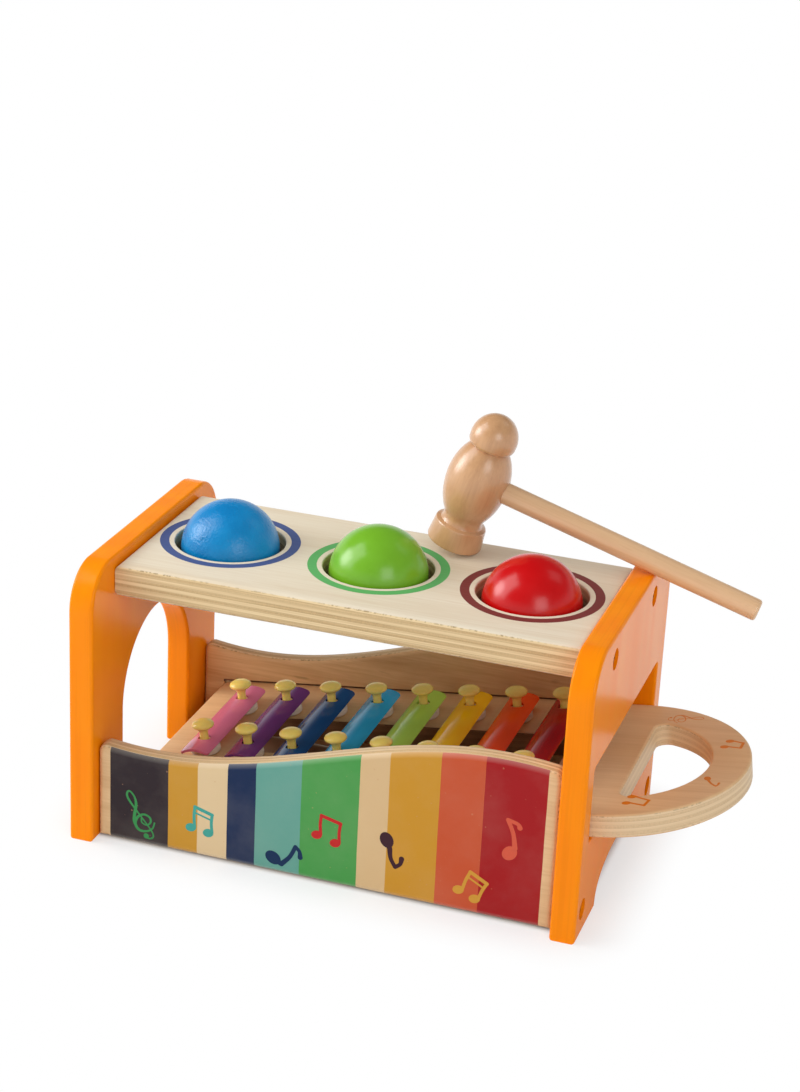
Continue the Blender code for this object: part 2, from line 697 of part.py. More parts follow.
def mallet(bench):
    foot = FACE_RADIUS - FACE_EDGE
    tilt = mallet_tilt()
    place = (MALLET_STAND + foot, MALLET_SIDE, BOARD_TOP + GAP)
    frame = empty("mallet_frame", place, (0.0, tilt, 0.0), bench)
    head = turned("mallet_head", head_profile(), HEAD_SIDES)
    head.location = (-foot, 0.0, 0.0)
    link(head, BEECH, frame)
    reach = MALLET_HANDLE_REACH
    start = MALLET_SOCKET_START
    profile = [
        (0.0, reach),
        (MALLET_HANDLE_RADIUS - MALLET_HANDLE_EDGE, reach),
        (MALLET_HANDLE_RADIUS, reach - MALLET_HANDLE_EDGE),
        (MALLET_HANDLE_RADIUS, start),
        (0.0, start),
    ]
    handle = turned("mallet_handle", profile, HEAD_SIDES)
    handle.location = (-foot, 0.0, BELLY_HEIGHT)
    handle.rotation_euler = (0.0, math.pi / 2, 0.0)
    link(handle, BEECH, frame)
    length = BELLY_RADIUS + OVERRUN - start + GAP
    socket = cylinder_mesh("mallet_socket", MALLET_HANDLE_RADIUS + GAP, length, HEAD_SIDES)
    socket.location = (-foot + start - GAP + length / 2, 0.0, BELLY_HEIGHT)
    socket.rotation_euler = (0.0, math.pi / 2, 0.0)
    cut(head, socket, frame)


def build():
    bench = empty("bench_frame", (ORIGIN_X, 0.0, 0.0), (0.0, 0.0, 0.0))
    tray_frame = empty("tray_frame", (0.0, 0.0, TRAY_TOP), (0.0, -TRAY_TILT, 0.0), bench)
    end_panel("left_end_panel", -1, [panel_outline(left_arch())], bench)
    low = (-TRAY_SLOT_HALF, TRAY_SLOT_BOTTOM)
    high = (TRAY_SLOT_HALF, TRAY_SLOT_TOP)
    slot = rounded_box(low, high, TRAY_SLOT_CORNER)
    end_panel("right_end_panel", 1, [panel_outline(right_arch()), slot], bench)
    top_board(bench)
    grip_sheet(bench)
    balls(bench)
    waved_panel("front_panel", -1, FRONT_THICK, FRONT_WAVE_MIDDLE, FRONT_WAVE_RISE,
                FRONT_LOW_FROM_END, FRONT_CREST_FROM_END, bench, tray_frame)
    waved_panel("rear_panel", 1, REAR_THICK, REAR_WAVE_MIDDLE, REAR_WAVE_RISE,
                REAR_LOW_FROM_END, REAR_CREST_FROM_END, bench, tray_frame)
    for side, word in ((-1, "left"), (1, "right")):
        for row, (across, up) in SCREW_ROWS.items():
            screw(f"screw_{word}_{row}", side, across, up, bench)
    tray_board(tray_frame)
    bars(tray_frame)
    pins_and_spacers(tray_frame)
    mallet(bench)


build()
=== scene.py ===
"""Looks of the xylophone pounding bench: rounded pieces over its solids, woods, paints and light."""

import math

import bmesh
import bpy
from mathutils import Matrix, Vector
from mathutils.geometry import delaunay_2d_cdt


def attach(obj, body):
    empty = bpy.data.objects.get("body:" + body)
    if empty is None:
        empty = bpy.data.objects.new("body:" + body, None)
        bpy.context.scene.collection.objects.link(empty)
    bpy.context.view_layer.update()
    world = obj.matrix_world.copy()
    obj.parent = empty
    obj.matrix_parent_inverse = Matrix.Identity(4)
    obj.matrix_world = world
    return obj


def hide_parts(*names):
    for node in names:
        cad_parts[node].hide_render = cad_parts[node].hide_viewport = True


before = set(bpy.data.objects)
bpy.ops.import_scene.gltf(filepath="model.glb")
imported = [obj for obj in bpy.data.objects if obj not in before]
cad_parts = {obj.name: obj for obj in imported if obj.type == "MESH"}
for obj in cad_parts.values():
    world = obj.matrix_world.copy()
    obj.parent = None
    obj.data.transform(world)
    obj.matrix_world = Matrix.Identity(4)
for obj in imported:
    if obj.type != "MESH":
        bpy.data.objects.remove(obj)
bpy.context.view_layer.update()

# ---- How finely the rounded shapes are stepped ----
FINE_ARC = math.radians(3)
CORNER_ARC = 3 * FINE_ARC
COARSE_ARC = 4 * FINE_ARC
QUARTER = math.pi / 2
SHARP = math.radians(38)
EDGE_STEPS = 3
RIM_STEPS = 5
CAP_STEPS = 16
BARREL_STEPS = 18
ARCH_STEPS = 60
WAVE_STEPS = 120
SMALL_SIDES = 40
BORE_SIDES = 24
BAR_HOLE_SIDES = 32
HANDLE_SIDES = 64
HEAD_SIDES = 96
BALL_SEGMENTS = 96
HOLE_SIDES = 120
CYLINDER_SIDES = 48
STROKE_STEPS = 6
SPOT_SIDES = 20
# Degrees from one ring of a pin's head to the next, and how many such steps it has
PIN_HEAD_STEP, PIN_HEAD_STEPS = 8, 18
# Points along the half of a screw's dome and across a bar's end, as shares
DOME_STATIONS = (0.3, 0.6, 0.85, 0.97)
BAR_STATIONS = (0.75, 0.5, 0.25, 0.0, -0.25, -0.5, -0.75)

# ---- Sizes, in metres: the solids' own, apart from softer edges and rounder corners ----
MILLIMETRE = 0.001
GAP = 0.0003
OVERRUN = 0.004
WELD = 0.000002
PAINT_FILM = 0.00003
# In millimetres, as the signs are drawn
SIGN_WELD = 0.0005

BENCH_LENGTH = 0.237
BENCH_DEPTH = 0.142
BENCH_HEIGHT = 0.1315
PANEL_THICK = 0.0115
PANEL_CORNER = 0.020
PANEL_EDGE = 0.0015
LEFT_ARCH_HALF = 0.0375
LEFT_ARCH_TOP = 0.089
RIGHT_ARCH_HALF = 0.036
RIGHT_ARCH_TOP = 0.0155
RIGHT_ARCH_POWER = 2.6
BOARD_SINK = 0.004
BOARD_THICK = 0.015
BOARD_DEPTH = 0.096
BOARD_EDGE = 0.0028
HOLE_RIM = 0.0006
HOLE_RADIUS = 0.0252
RING_INNER = 0.0278
RING_OUTER = 0.0321
BALL_RADIUS = 0.0225
BALL_DROPS = {"blue_ball": 0.0035, "green_ball": 0.0037, "red_ball": 0.0055}
GRIP_THICK = 0.002
GRIP_EDGE = 0.0004
GRIP_SIDE_MARGIN = 0.015
GRIP_END_MARGIN = 0.010
FRONT_INSET = 0.005
FRONT_THICK = 0.0095
REAR_THICK = 0.008
PANEL_LIFT = 0.0015
# The middle of the wave, its rise, and its low and crest from the panel's left and right ends
FRONT_WAVE = (0.0627, 0.0162, 0.025, 0.025)
REAR_WAVE = (0.0618, 0.0172, 0.026, 0.030)
WAVE_EDGE = 0.0028
WAVE_CORNER = 0.004
TRAY_TILT = math.radians(7.7)
TRAY_TOP = 0.0405
TRAY_LAP = 0.0011
TRAY_THICK = 0.011
TRAY_FROM_END = 0.011
TRAY_CORNER = 0.006
TRAY_EDGE = 0.0012
HANDLE_BAND = 0.0176
FINGER_HOLE_FROM_CENTRE = 0.0078
FINGER_HOLE_CORNER = 0.005
SOUND_SLOT_MARGIN = 0.004
SOUND_SLOT_FROM_FIRST_BAR = 0.0108
SOUND_SLOT_PAST_LAST_BAR = 0.0085
SOUND_SLOT_CORNER = 0.004
GROOVE_PLAY = 0.0004
GROOVE_END_PLAY = 0.0006
TRAY_SLOT_PLAY = 0.0008
TRAY_SLOT_HEADROOM = 0.0215
TRAY_SLOT_CORNER = 0.002
FIRST_BAR_FROM_END = 0.0232
LAST_BAR_FROM_END = 0.0235
BAR_WIDTH = 0.0144
BAR_THICK = 0.0012
BAR_ROLL_SHARE = 0.22
BAR_ANGLE = math.radians(36)
BAR_CORNER = 0.0022
LONGEST_BAR_MARGIN = 0.00775
BAR_GROWTH = 0.0035
PIN_INSET = 0.0135
PIN_INSET_GROWTH = 0.0001
BAR_HOLE_RADIUS = 0.003
SPACER_RADIUS = 0.007
SPACER_HEIGHT = 0.0037
SPACER_SOFT_SHARE = 0.18
PIN_RADIUS = 0.002
PIN_FLARE = 0.0016
PIN_HEAD_RADIUS = 0.0052
PIN_HEAD_HEIGHT = 0.0046
PIN_TOP = 0.016
PIN_DEPTH = 0.0088
SCREW_RADIUS = 0.0018
SCREW_HEAD_RADIUS = 0.0042
SCREW_HEAD_DEPTH = 0.0024
SCREW_LENGTH = 0.030
SCREW_RECESS_RADIUS = 0.0048
SCREW_RECESS_DEPTH = 0.0036
SCREW_DOME_SHARE = 0.12
FIRST_SCREW_TURN = 0.5
SCREW_TURN_STEP = 1.1
# The cross recess: how far it reaches and half its width, of the head's radius, and its depth
CROSS_SHARES = (0.62, 0.13, 0.6)
TOP_SCREW_MARGIN = 0.0115
LOW_SCREW_HEIGHT = 0.0125
HEAD_LENGTH = 0.066
FACE_RADIUS = 0.01285
FACE_EDGE = 0.001
FACE_HEIGHT = 0.0105
FACE_TOP_RADIUS = 0.012
WAIST_RADIUS = 0.00935
WAIST_HEIGHT = 0.0135
BARREL_FOOT_RADIUS = 0.0100
BARREL_FOOT_HEIGHT = 0.0155
BELLY_RADIUS = 0.0145
BELLY_HEIGHT = 0.0325
NECK_RADIUS = 0.0085
NECK_HEIGHT = 0.050
CAP_RADIUS = 0.0109
CAP_LIP_HEIGHT = 0.0508
CAP_WIDEST_HEIGHT = 0.0545
MALLET_HANDLE_RADIUS = 0.005
MALLET_HANDLE_REACH = 0.138
MALLET_SOCKET_START = -0.006
MALLET_HANDLE_EDGE = 0.0015
MALLET_MARGIN = 0.014

# ---- What follows from them ----
INNER_X = BENCH_LENGTH / 2 - PANEL_THICK
FRONT_FACE = BENCH_DEPTH / 2 - FRONT_INSET
INNER_FRONT = FRONT_FACE - FRONT_THICK
BOARD_TOP = BENCH_HEIGHT - BOARD_SINK
BOARD_UNDER = BOARD_TOP - BOARD_THICK
HOLE_SPACING = 2 * INNER_X / 3
HOLE_PLACES = (-HOLE_SPACING, 0.0, HOLE_SPACING)
TRAY_HALF = INNER_FRONT + TRAY_LAP
TRAY_LEFT_END = -INNER_X + TRAY_FROM_END
HANDLE_CENTRE = BENCH_LENGTH / 2 - GAP
TRAY_SLOT_HALF = TRAY_HALF + TRAY_SLOT_PLAY
TRAY_SLOT_BOTTOM = (
    TRAY_TOP + INNER_X * math.tan(TRAY_TILT) - TRAY_THICK / math.cos(TRAY_TILT) - TRAY_SLOT_PLAY
)
TRAY_SLOT_TOP = TRAY_TOP + BENCH_LENGTH / 2 * math.tan(TRAY_TILT) + TRAY_SLOT_HEADROOM
BARS = ("pink", "purple", "navy", "sky_blue", "light_green", "yellow", "orange_red", "dark_red")
FIRST_BAR = TRAY_LEFT_END + FIRST_BAR_FROM_END
LAST_BAR = INNER_X - LAST_BAR_FROM_END
BAR_PITCH = (LAST_BAR - FIRST_BAR) / (len(BARS) - 1)
SHORTEST_BAR = 2 * (INNER_FRONT - LONGEST_BAR_MARGIN) - BAR_GROWTH * (len(BARS) - 1)
SOUND_SLOT = (
    (FIRST_BAR + SOUND_SLOT_FROM_FIRST_BAR, SOUND_SLOT_MARGIN + PIN_INSET - SHORTEST_BAR / 2),
    (LAST_BAR + SOUND_SLOT_PAST_LAST_BAR, SHORTEST_BAR / 2 - PIN_INSET - SOUND_SLOT_MARGIN),
)
BAR_OUTER = BAR_WIDTH / 2 / math.sin(BAR_ANGLE)
BAR_SEAT = SPACER_HEIGHT + GAP
TOP_SCREW_SIDE = BOARD_DEPTH / 2 - TOP_SCREW_MARGIN
SCREW_ROWS = {
    "top_front": (-TOP_SCREW_SIDE, BOARD_TOP - BOARD_THICK / 2),
    "top_rear": (TOP_SCREW_SIDE, BOARD_TOP - BOARD_THICK / 2),
    "low_front": (-(INNER_FRONT + FRONT_THICK / 2), LOW_SCREW_HEIGHT),
    "low_rear": (INNER_FRONT + REAR_THICK / 2, LOW_SCREW_HEIGHT),
}
TOY_REACH = (
    (HANDLE_CENTRE + TRAY_HALF - TRAY_EDGE) * math.cos(TRAY_TILT)
    + (TRAY_THICK - TRAY_EDGE) * math.sin(TRAY_TILT)
    + TRAY_EDGE
)
ORIGIN_X = -(TOY_REACH - BENCH_LENGTH / 2) / 2


def shift(x, y, z):
    """A move, as a matrix."""
    return Matrix.Translation((x, y, z))


def spin(angle, axis):
    """A turn about an axis, as a matrix."""
    return Matrix.Rotation(angle, 4, axis)


BENCH = shift(ORIGIN_X, 0.0, 0.0)
TRAY = BENCH @ shift(0.0, 0.0, TRAY_TOP) @ spin(-TRAY_TILT, "Y")
# A plate is drawn in its own XY plane: these stand it up in the bench's XZ and YZ planes.
FACING_FRONT = spin(QUARTER, "X")
FACING_RIGHT = spin(QUARTER, "Z") @ spin(QUARTER, "X")


def srgb(red, green, blue):
    """A colour read off a screen, 0 to 255 each, as linear light."""
    def linear(value):
        value /= 255
        return value / 12.92 if value <= 0.04045 else ((value + 0.055) / 1.055) ** 2.4
    return (linear(red), linear(green), linear(blue), 1.0)


def tones(*colours):
    return [srgb(*colour) for colour in colours]


def shaded(colour, share):
    """A colour with its light times a share."""
    return tuple(share * c for c in colour[:3]) + (1.0,)


# ---- Materials ----
class Nodes:
    """Short names for the nodes of a material or a world."""

    def __init__(self, owner):
        owner.use_nodes = True
        self.tree = owner.node_tree

    def node(self, kind, settings=None, **inputs):
        made = self.tree.nodes.new(kind)
        for key, value in (settings or {}).items():
            setattr(made, key, value)
        for key, value in inputs.items():
            self.put(made.inputs[key.replace("_", " ")], value)
        return made

    def put(self, socket, value):
        if isinstance(value, bpy.types.NodeSocket):
            self.tree.links.new(value, socket)
        else:
            socket.default_value = value

    def wired(self, made, sockets, values):
        """A node with values on its numbered sockets, for those whose names aren't unique."""
        for socket, value in zip(sockets, values):
            self.put(made.inputs[socket], value)
        return made

    def maths(self, operation, first, second=0.0, clamp=False):
        made = self.node("ShaderNodeMath", {"operation": operation, "use_clamp": clamp})
        return self.wired(made, (0, 1), (first, second)).outputs[0]

    def plus(self, first, second):
        return self.maths("ADD", first, second)

    def minus(self, first, second):
        return self.maths("SUBTRACT", first, second)

    def times(self, first, second):
        return self.maths("MULTIPLY", first, second)

    def vector(self, operation, first, second=(0.0, 0.0, 0.0)):
        made = self.node("ShaderNodeVectorMath", {"operation": operation})
        self.wired(made, (0, 1), (first, second))
        return made.outputs["Value" if operation in ("LENGTH", "DISTANCE") else "Vector"]

    def span(self, value, low, high, start=0.0, end=1.0, kind="LINEAR"):
        """Start to end as the value goes from low to high."""
        made = self.node("ShaderNodeMapRange", {"interpolation_type": kind}, Value=value,
                         From_Min=low, From_Max=high, To_Min=start, To_Max=end)
        return made.outputs["Result"]

    def between(self, value, low, high, soft=0.00005):
        """1 where low < value < high, else 0, over a narrow soft edge."""
        up = self.maths("DIVIDE", self.minus(value, low), soft, clamp=True)
        down = self.maths("DIVIDE", self.minus(high, value), soft, clamp=True)
        return self.times(up, down)

    def ramp(self, value, stops, interpolation="LINEAR"):
        """A colour, or a plain number as a grey, at each of some positions."""
        made = self.node("ShaderNodeValToRGB", Fac=value)
        made.color_ramp.interpolation = interpolation
        elements = made.color_ramp.elements
        while len(elements) < len(stops):
            elements.new(1.0)
        for element, (position, colour) in zip(elements, stops):
            element.position = position
        for element, (position, colour) in zip(elements, stops):
            element.color = colour if hasattr(colour, "__len__") else (colour, colour, colour, 1.0)
        return made.outputs["Color"]

    def fade(self, value, start, end, share=1.0):
        """0 up to the start, then rising to the share at the end."""
        return self.ramp(value, [(start, 0.0), (end, share)])

    def mix(self, share, first, second, blend="MIX"):
        settings = {"data_type": "RGBA", "blend_type": blend, "clamp_result": True}
        made = self.node("ShaderNodeMix", settings)
        return self.wired(made, (0, 6, 7), (share, first, second)).outputs[2]

    def mix_shader(self, share, first, second):
        made = self.node("ShaderNodeMixShader")
        return self.wired(made, (0, 1, 2), (share, first.outputs[0], second.outputs[0])).outputs[0]

    def backdrop_rays(self):
        """1 for a ray that comes straight from the camera, off a gloss or through glass, else 0."""
        rays = self.node("ShaderNodeLightPath").outputs
        first = self.maths("MAXIMUM", rays["Is Camera Ray"], rays["Is Glossy Ray"])
        return self.maths("MAXIMUM", first, rays["Is Transmission Ray"])


class Look(Nodes):
    """A material over a piece's own coordinates."""

    def __init__(self, name):
        self.material = bpy.data.materials.new(name)
        super().__init__(self.material)
        self.shader = self.tree.nodes["Principled BSDF"]
        self.place = self.node("ShaderNodeAttribute", {"attribute_name": "own"}).outputs["Vector"]
        self.x, self.y, self.z = self.node("ShaderNodeSeparateXYZ", Vector=self.place).outputs

    def noise(self, scale, detail=3.0, roughness=0.5, distortion=0.0):
        """Noise over the coordinates, times one scale or one for each."""
        each = scale if hasattr(scale, "__len__") else (scale, scale, scale)
        place = self.node("ShaderNodeMapping", Vector=self.place, Scale=each).outputs[0]
        made = self.node("ShaderNodeTexNoise", Vector=place, Scale=1.0, Detail=detail,
                         Roughness=roughness, Distortion=distortion)
        return made.outputs["Fac"]

    def bump(self, height, strength, distance):
        made = self.node("ShaderNodeBump", Strength=strength, Distance=distance, Height=height)
        self.put(self.shader.inputs["Normal"], made.outputs[0])

    def finish(self, **inputs):
        for key, value in inputs.items():
            self.put(self.shader.inputs[key.replace("_", " ")], value)
        return self.material


def gloss_paint(name, colour, shade, rough, specular=0.5, plies=0.0, peel=0.10, pebble=0.0, dent=None):
    """Sprayed gloss paint with a faint mottle between two tones.

    Plies can show through it. The film can be pebbled, and have one small ring-shaped dent, which
    painted shade also darkens.
    """
    look = Look(name)
    mottle = look.noise((90, 12, 90) if plies else 55, detail=4)
    fine = look.noise((300, 120, 300), detail=1)
    mixed = look.mix(look.fade(mottle, 0.35, 0.65), colour, shade)
    height = look.plus(fine, look.times(mottle, 2.0))
    if plies:
        streak = look.noise((9, 9, 900), detail=2)
        shown = look.times(look.fade(streak, 0.50, 0.66), plies)
        mixed = look.mix(shown, mixed, shaded(shade, 0.72))
        height = look.minus(height, look.times(shown, 3.0))
    if pebble:
        pebbles = look.noise(680, detail=2, roughness=0.6)
        height = look.plus(height, look.times(pebbles, pebble))
    if dent:
        ring = look.between(look.vector("DISTANCE", look.place, dent), *DENT_RING, soft=0.0002)
        # Painted shade: the dent's ring is darkened as well as bumped in
        mixed = look.mix(look.times(ring, 0.4), mixed, shaded(colour, 0.5))
        height = look.minus(height, look.times(ring, 7.0))
    look.bump(height, peel, 0.0002)
    return look.finish(Base_Color=mixed, Specular_IOR_Level=specular,
                       Roughness=look.ramp(mottle, [(0.3, rough), (0.7, rough + 0.07)]))


def wood_figure(look, along, tone, dark, pale, size=1.0, strength=1.0):
    """Fine grain that runs along one of the piece's own axes, over slow bands of tone."""
    quick = [800 / size] * 3
    slow = [90 / size] * 3
    band = [16 / size] * 3
    quick[along], slow[along], band[along] = 30 / size, 7 / size, 2.2 / size
    drift = look.noise(band, detail=2)
    streak = look.noise(slow, detail=5, roughness=0.7, distortion=0.4)
    fibre = look.noise(quick, detail=3, roughness=0.6)
    colour = look.mix(look.fade(drift, 0.3, 0.7), tone, pale)
    colour = look.mix(look.fade(streak, 0.45, 0.80, 0.8 * strength), colour, dark)
    colour = look.mix(look.fade(fibre, 0.42, 0.72, 0.32 * strength), colour, dark)
    return colour, fibre


def plywood(name, thickness, layers, shades, rough=0.42, specular=0.35, knots=0.0, strength=1.0):
    """Plywood whose plies lie across the piece's own Z. Its shader can take a colour over its own."""
    face, face_pale, face_dark, long_ply, cross_ply = shades
    look = Look(name)
    colour, fibre = wood_figure(look, 0, face, face_dark, face_pale, strength=strength)
    if knots:
        spots = look.noise((60, 260, 260), detail=2, roughness=0.4)
        colour = look.mix(look.fade(spots, 0.66, 0.74, knots), colour, shaded(face_dark, 0.45))
    waver = look.times(look.noise((9, 9, 60), detail=2), 0.5)
    level = look.plus(look.maths("DIVIDE", look.z, thickness), 0.5)
    level = look.plus(look.times(level, float(layers)), waver)
    level = look.minus(level, 0.25)
    depth = look.maths("FRACT", level)
    odd = look.maths("ROUND", look.maths("FRACT", look.times(look.maths("FLOOR", level), 0.5)))
    pores = look.noise((1400, 1400, 900), detail=2)
    dark_cross = shaded(cross_ply, 0.66)
    cross = look.mix(look.fade(pores, 0.40, 0.65, 0.35), cross_ply, dark_cross)
    lengthwise = look.noise((14, 14, 1300), detail=3)
    streaks = look.fade(lengthwise, 0.40, 0.68, 0.6)
    edge = look.mix(odd, look.mix(streaks, long_ply, cross_ply), look.mix(streaks, cross, long_ply))
    rim = look.span(look.maths("ABSOLUTE", look.minus(depth, 0.5)), 0.40, 0.50)
    edge = look.mix(look.times(rim, 0.30), edge, dark_cross)
    veneer = thickness / 2 - thickness / layers * 0.5
    off_middle = look.maths("ABSOLUTE", look.z)
    inside = look.between(off_middle, -1.0, veneer)
    crumb = look.between(off_middle, veneer - 0.0005, veneer + 0.0002, soft=0.0002)
    chips = look.fade(look.noise((650, 650, 400), detail=2), 0.46, 0.62, 0.9)
    patches = look.ramp(look.noise(45, detail=2), [(0.38, 0.2), (0.56, 1.0)])
    chips = look.times(chips, patches)
    colour = look.mix(inside, colour, edge)
    colour = look.mix(look.times(crumb, chips), colour, dark_cross)
    look.bump(look.plus(fibre, look.times(pores, inside)), 0.15, 0.00025)
    look.finish(Base_Color=colour, Roughness=look.ramp(fibre, [(0.3, rough), (0.8, rough + 0.12)]),
                Specular_IOR_Level=specular)
    return look, colour


# For each plywood: its face, the face's pale and dark parts, the plies along and the plies across
BIRCH = tones((227, 213, 187), (233, 221, 199), (208, 182, 146), (231, 207, 163), (200, 169, 123))
INNER_TONES = tones((234, 190, 134), (242, 206, 156), (194, 142, 90), (236, 208, 162), (200, 162, 114))
TRAY_TONES = tones((224, 179, 126), (234, 195, 147), (198, 150, 104), (232, 204, 164), (220, 188, 146))
FRONT_TONES = tones((222, 188, 140), (232, 202, 156), (200, 160, 114), (236, 212, 170), (206, 172, 126))
RING_PAINTS = tones((48, 76, 138), (80, 174, 92), (118, 16, 26))
# Where each stripe starts along the front panel, and its colour; the last ends them
STRIPES = (
    (-0.1004, srgb(37, 24, 31)),
    (-0.0728, srgb(197, 142, 32)),
    (-0.0587, srgb(220, 193, 150)),
    (-0.0443, srgb(0, 33, 74)),
    (-0.0306, srgb(97, 158, 144)),
    (-0.0095, srgb(70, 151, 72)),
    (0.0172, srgb(214, 181, 134)),
    (0.0306, srgb(200, 143, 36)),
    (0.0535, srgb(196, 80, 42)),
    (0.0730, srgb(160, 4, 12)),
    (0.1010, None),
)
# Painted shade, multiplied over the sides of the tray's sound slot
SLOT_PAINTED_SHADE = (0.40, 0.25, 0.17, 1.0)
# Painted shade on the rear panel along the tray's edge, and how far under and over the tray's top it
# reaches
SEAM_PAINTED_SHADE = (0.16, 0.09, 0.06, 1.0)
SEAM_BELOW = 0.0006
SEAM_ABOVE = 0.0010
# A ring-shaped dent, darkened with painted shade too: its inner and outer radius, and its middle on the
# blue ball
DENT_RING = (0.0004, 0.0009)
BLUE_DENT = (-0.00616, -0.01904, 0.01028)
BAR_COLOURS = tones((212, 112, 142), (106, 48, 112), (10, 68, 122), (38, 162, 212), (168, 210, 80),
                    (255, 192, 0), (242, 78, 10), (172, 0, 6))
HANDLE_INK = srgb(226, 124, 8)
HEAD_TONES = tones((202, 152, 106), (172, 120, 78), (210, 162, 116))
HANDLE_TONES = tones((226, 182, 136), (200, 150, 106), (234, 194, 150))


def painted_board():
    """The top board's birch ply, with a painted ring round each hole."""
    look, colour = plywood("top_board_ply", BOARD_THICK, 9, BIRCH,
                           rough=0.5, specular=0.2, strength=0.6)
    above = look.maths("GREATER_THAN", look.z, BOARD_THICK / 2 - HOLE_RIM / 2)
    fray = look.times(look.noise(1400, detail=2), 0.0002)
    for place, paint in zip(HOLE_PLACES, RING_PAINTS):
        across = look.minus(look.x, place)
        square = look.plus(look.times(across, across), look.times(look.y, look.y))
        radius = look.plus(look.maths("SQRT", square), fray)
        ring = look.times(look.between(radius, RING_INNER, RING_OUTER), above)
        colour = look.mix(look.times(ring, 0.95), colour, paint)
    return look.finish(Base_Color=colour)


def striped_panel():
    """The front panel's ply, printed with upright stripes on its face and over its rounded edge, where
    a painted sheen pales the print towards the top.
    """
    look, wood = plywood("front_panel_ply", FRONT_THICK, 7, FRONT_TONES, rough=0.28)
    starts, inks = zip(*STRIPES)
    span = starts[-1] - starts[0]
    waver = look.times(look.noise(40, detail=2), 0.0004)
    place = look.plus(look.x, waver)
    share = look.maths("DIVIDE", look.minus(place, starts[0]), span)
    stops = [((start - starts[0]) / span, colour) for start, colour in zip(starts[:-1], inks)]
    ink = look.ramp(share, stops, "CONSTANT")
    cloud = look.noise(30, detail=5, roughness=0.6)
    ink = look.mix(look.fade(cloud, 0.40, 0.75, 0.05), ink, srgb(240, 225, 205))
    specks = look.fade(look.noise(650, detail=0), 0.83, 0.86, 0.35)
    ink = look.mix(specks, ink, srgb(200, 150, 110))
    look.put(look.shader.inputs["Specular IOR Level"], 0.25)
    on_face = look.maths("GREATER_THAN", look.z, FRONT_THICK / 2 - WAVE_EDGE * 0.45)
    # Painted sheen: the print pales towards white over the rounded top edge
    painted_sheen_depth = look.maths("DIVIDE", look.minus(FRONT_THICK / 2, look.z), WAVE_EDGE)
    ink = look.mix(look.ramp(painted_sheen_depth, [(0.0, 0.0), (0.08, 0.07), (0.45, 0.16)]), ink, srgb(255, 250, 240))
    inside = look.times(look.between(place, starts[0], starts[-1]), on_face)
    return look.finish(Base_Color=look.mix(inside, wood, ink))


def tray_plywood():
    """The tray's ply, with painted shade darkening the sides of the slot under the bars."""
    look, colour = plywood("tray_ply", TRAY_THICK, 7, TRAY_TONES, strength=0.6)
    (left, front), (right, rear) = SOUND_SLOT
    # Painted shade: the sides of the sound slot are darkened
    slot_wall_shade = look.times(look.between(look.x, left - MILLIMETRE, right + MILLIMETRE),
                      look.between(look.y, front - MILLIMETRE, rear + MILLIMETRE))
    slot_wall_shade = look.times(slot_wall_shade, look.maths("LESS_THAN", look.z, TRAY_THICK / 2 - TRAY_EDGE / 2))
    return look.finish(Base_Color=look.mix(slot_wall_shade, colour, SLOT_PAINTED_SHADE, "MULTIPLY"))


def rear_plywood():
    """The rear panel's ply, with a band of painted shade where the tray's edge goes into it."""
    look, colour = plywood("rear_panel_ply", REAR_THICK, 5, INNER_TONES, knots=0.35)
    above = look.minus(look.y, look.times(look.x, math.tan(TRAY_TILT)))
    # Painted shade: a dark band on the panel's inner face where the tray's top edge meets it
    seam_shade = look.between(above, TRAY_TOP - SEAM_BELOW, TRAY_TOP + SEAM_ABOVE, soft=0.0003)
    inner = look.maths("GREATER_THAN", look.z, REAR_THICK / 2 - 2 * TRAY_LAP)
    beside = look.maths("GREATER_THAN", look.x, TRAY_LEFT_END)
    seam_shade = look.times(seam_shade, look.times(inner, beside))
    return look.finish(Base_Color=look.mix(seam_shade, colour, SEAM_PAINTED_SHADE, "MULTIPLY"))


def turned_wood(name, tone, dark, pale):
    """Lacquered beech, its grain and short flecks along its own Z."""
    look = Look(name)
    colour, fibre = wood_figure(look, 2, tone, dark, pale, 0.75, 0.6)
    fleck = look.fade(look.noise((900, 900, 100), detail=1), 0.60, 0.72, 0.14)
    colour = look.mix(fleck, colour, dark)
    look.bump(fibre, 0.05, 0.0002)
    return look.finish(Base_Color=colour, Roughness=0.34, Coat_Weight=0.8, Coat_Roughness=0.22)


def enamel(name, colour):
    """Smooth coloured enamel over steel, a little cloudy."""
    look = Look(name)
    cloud = look.noise((70, 30, 70), detail=3)
    speckle = look.noise(900, detail=1)
    pale = tuple(min(1.0, c * 1.18 + 0.008) for c in colour[:3]) + (1.0,)
    mixed = look.mix(look.fade(cloud, 0.35, 0.7, 0.8), colour, pale)
    look.bump(speckle, 0.03, 0.0001)
    return look.finish(Base_Color=mixed, Specular_IOR_Level=0.42,
                       Roughness=look.ramp(cloud, [(0.3, 0.10), (0.7, 0.15)]))


def plain(name, colour, rough, metallic=0.0, grain=600, depth=0.1, subsurface=0.0, specular=0.5):
    """A single-coloured stuff with a fine surface of its own."""
    look = Look(name)
    texture = look.noise(grain, detail=3)
    darker = shaded(colour, 0.86)
    look.bump(texture, depth, 0.0002)
    return look.finish(Base_Color=look.mix(texture, colour, darker), Roughness=rough, Metallic=metallic,
                       Subsurface_Weight=subsurface, Subsurface_Scale=0.002,
                       Specular_IOR_Level=specular)


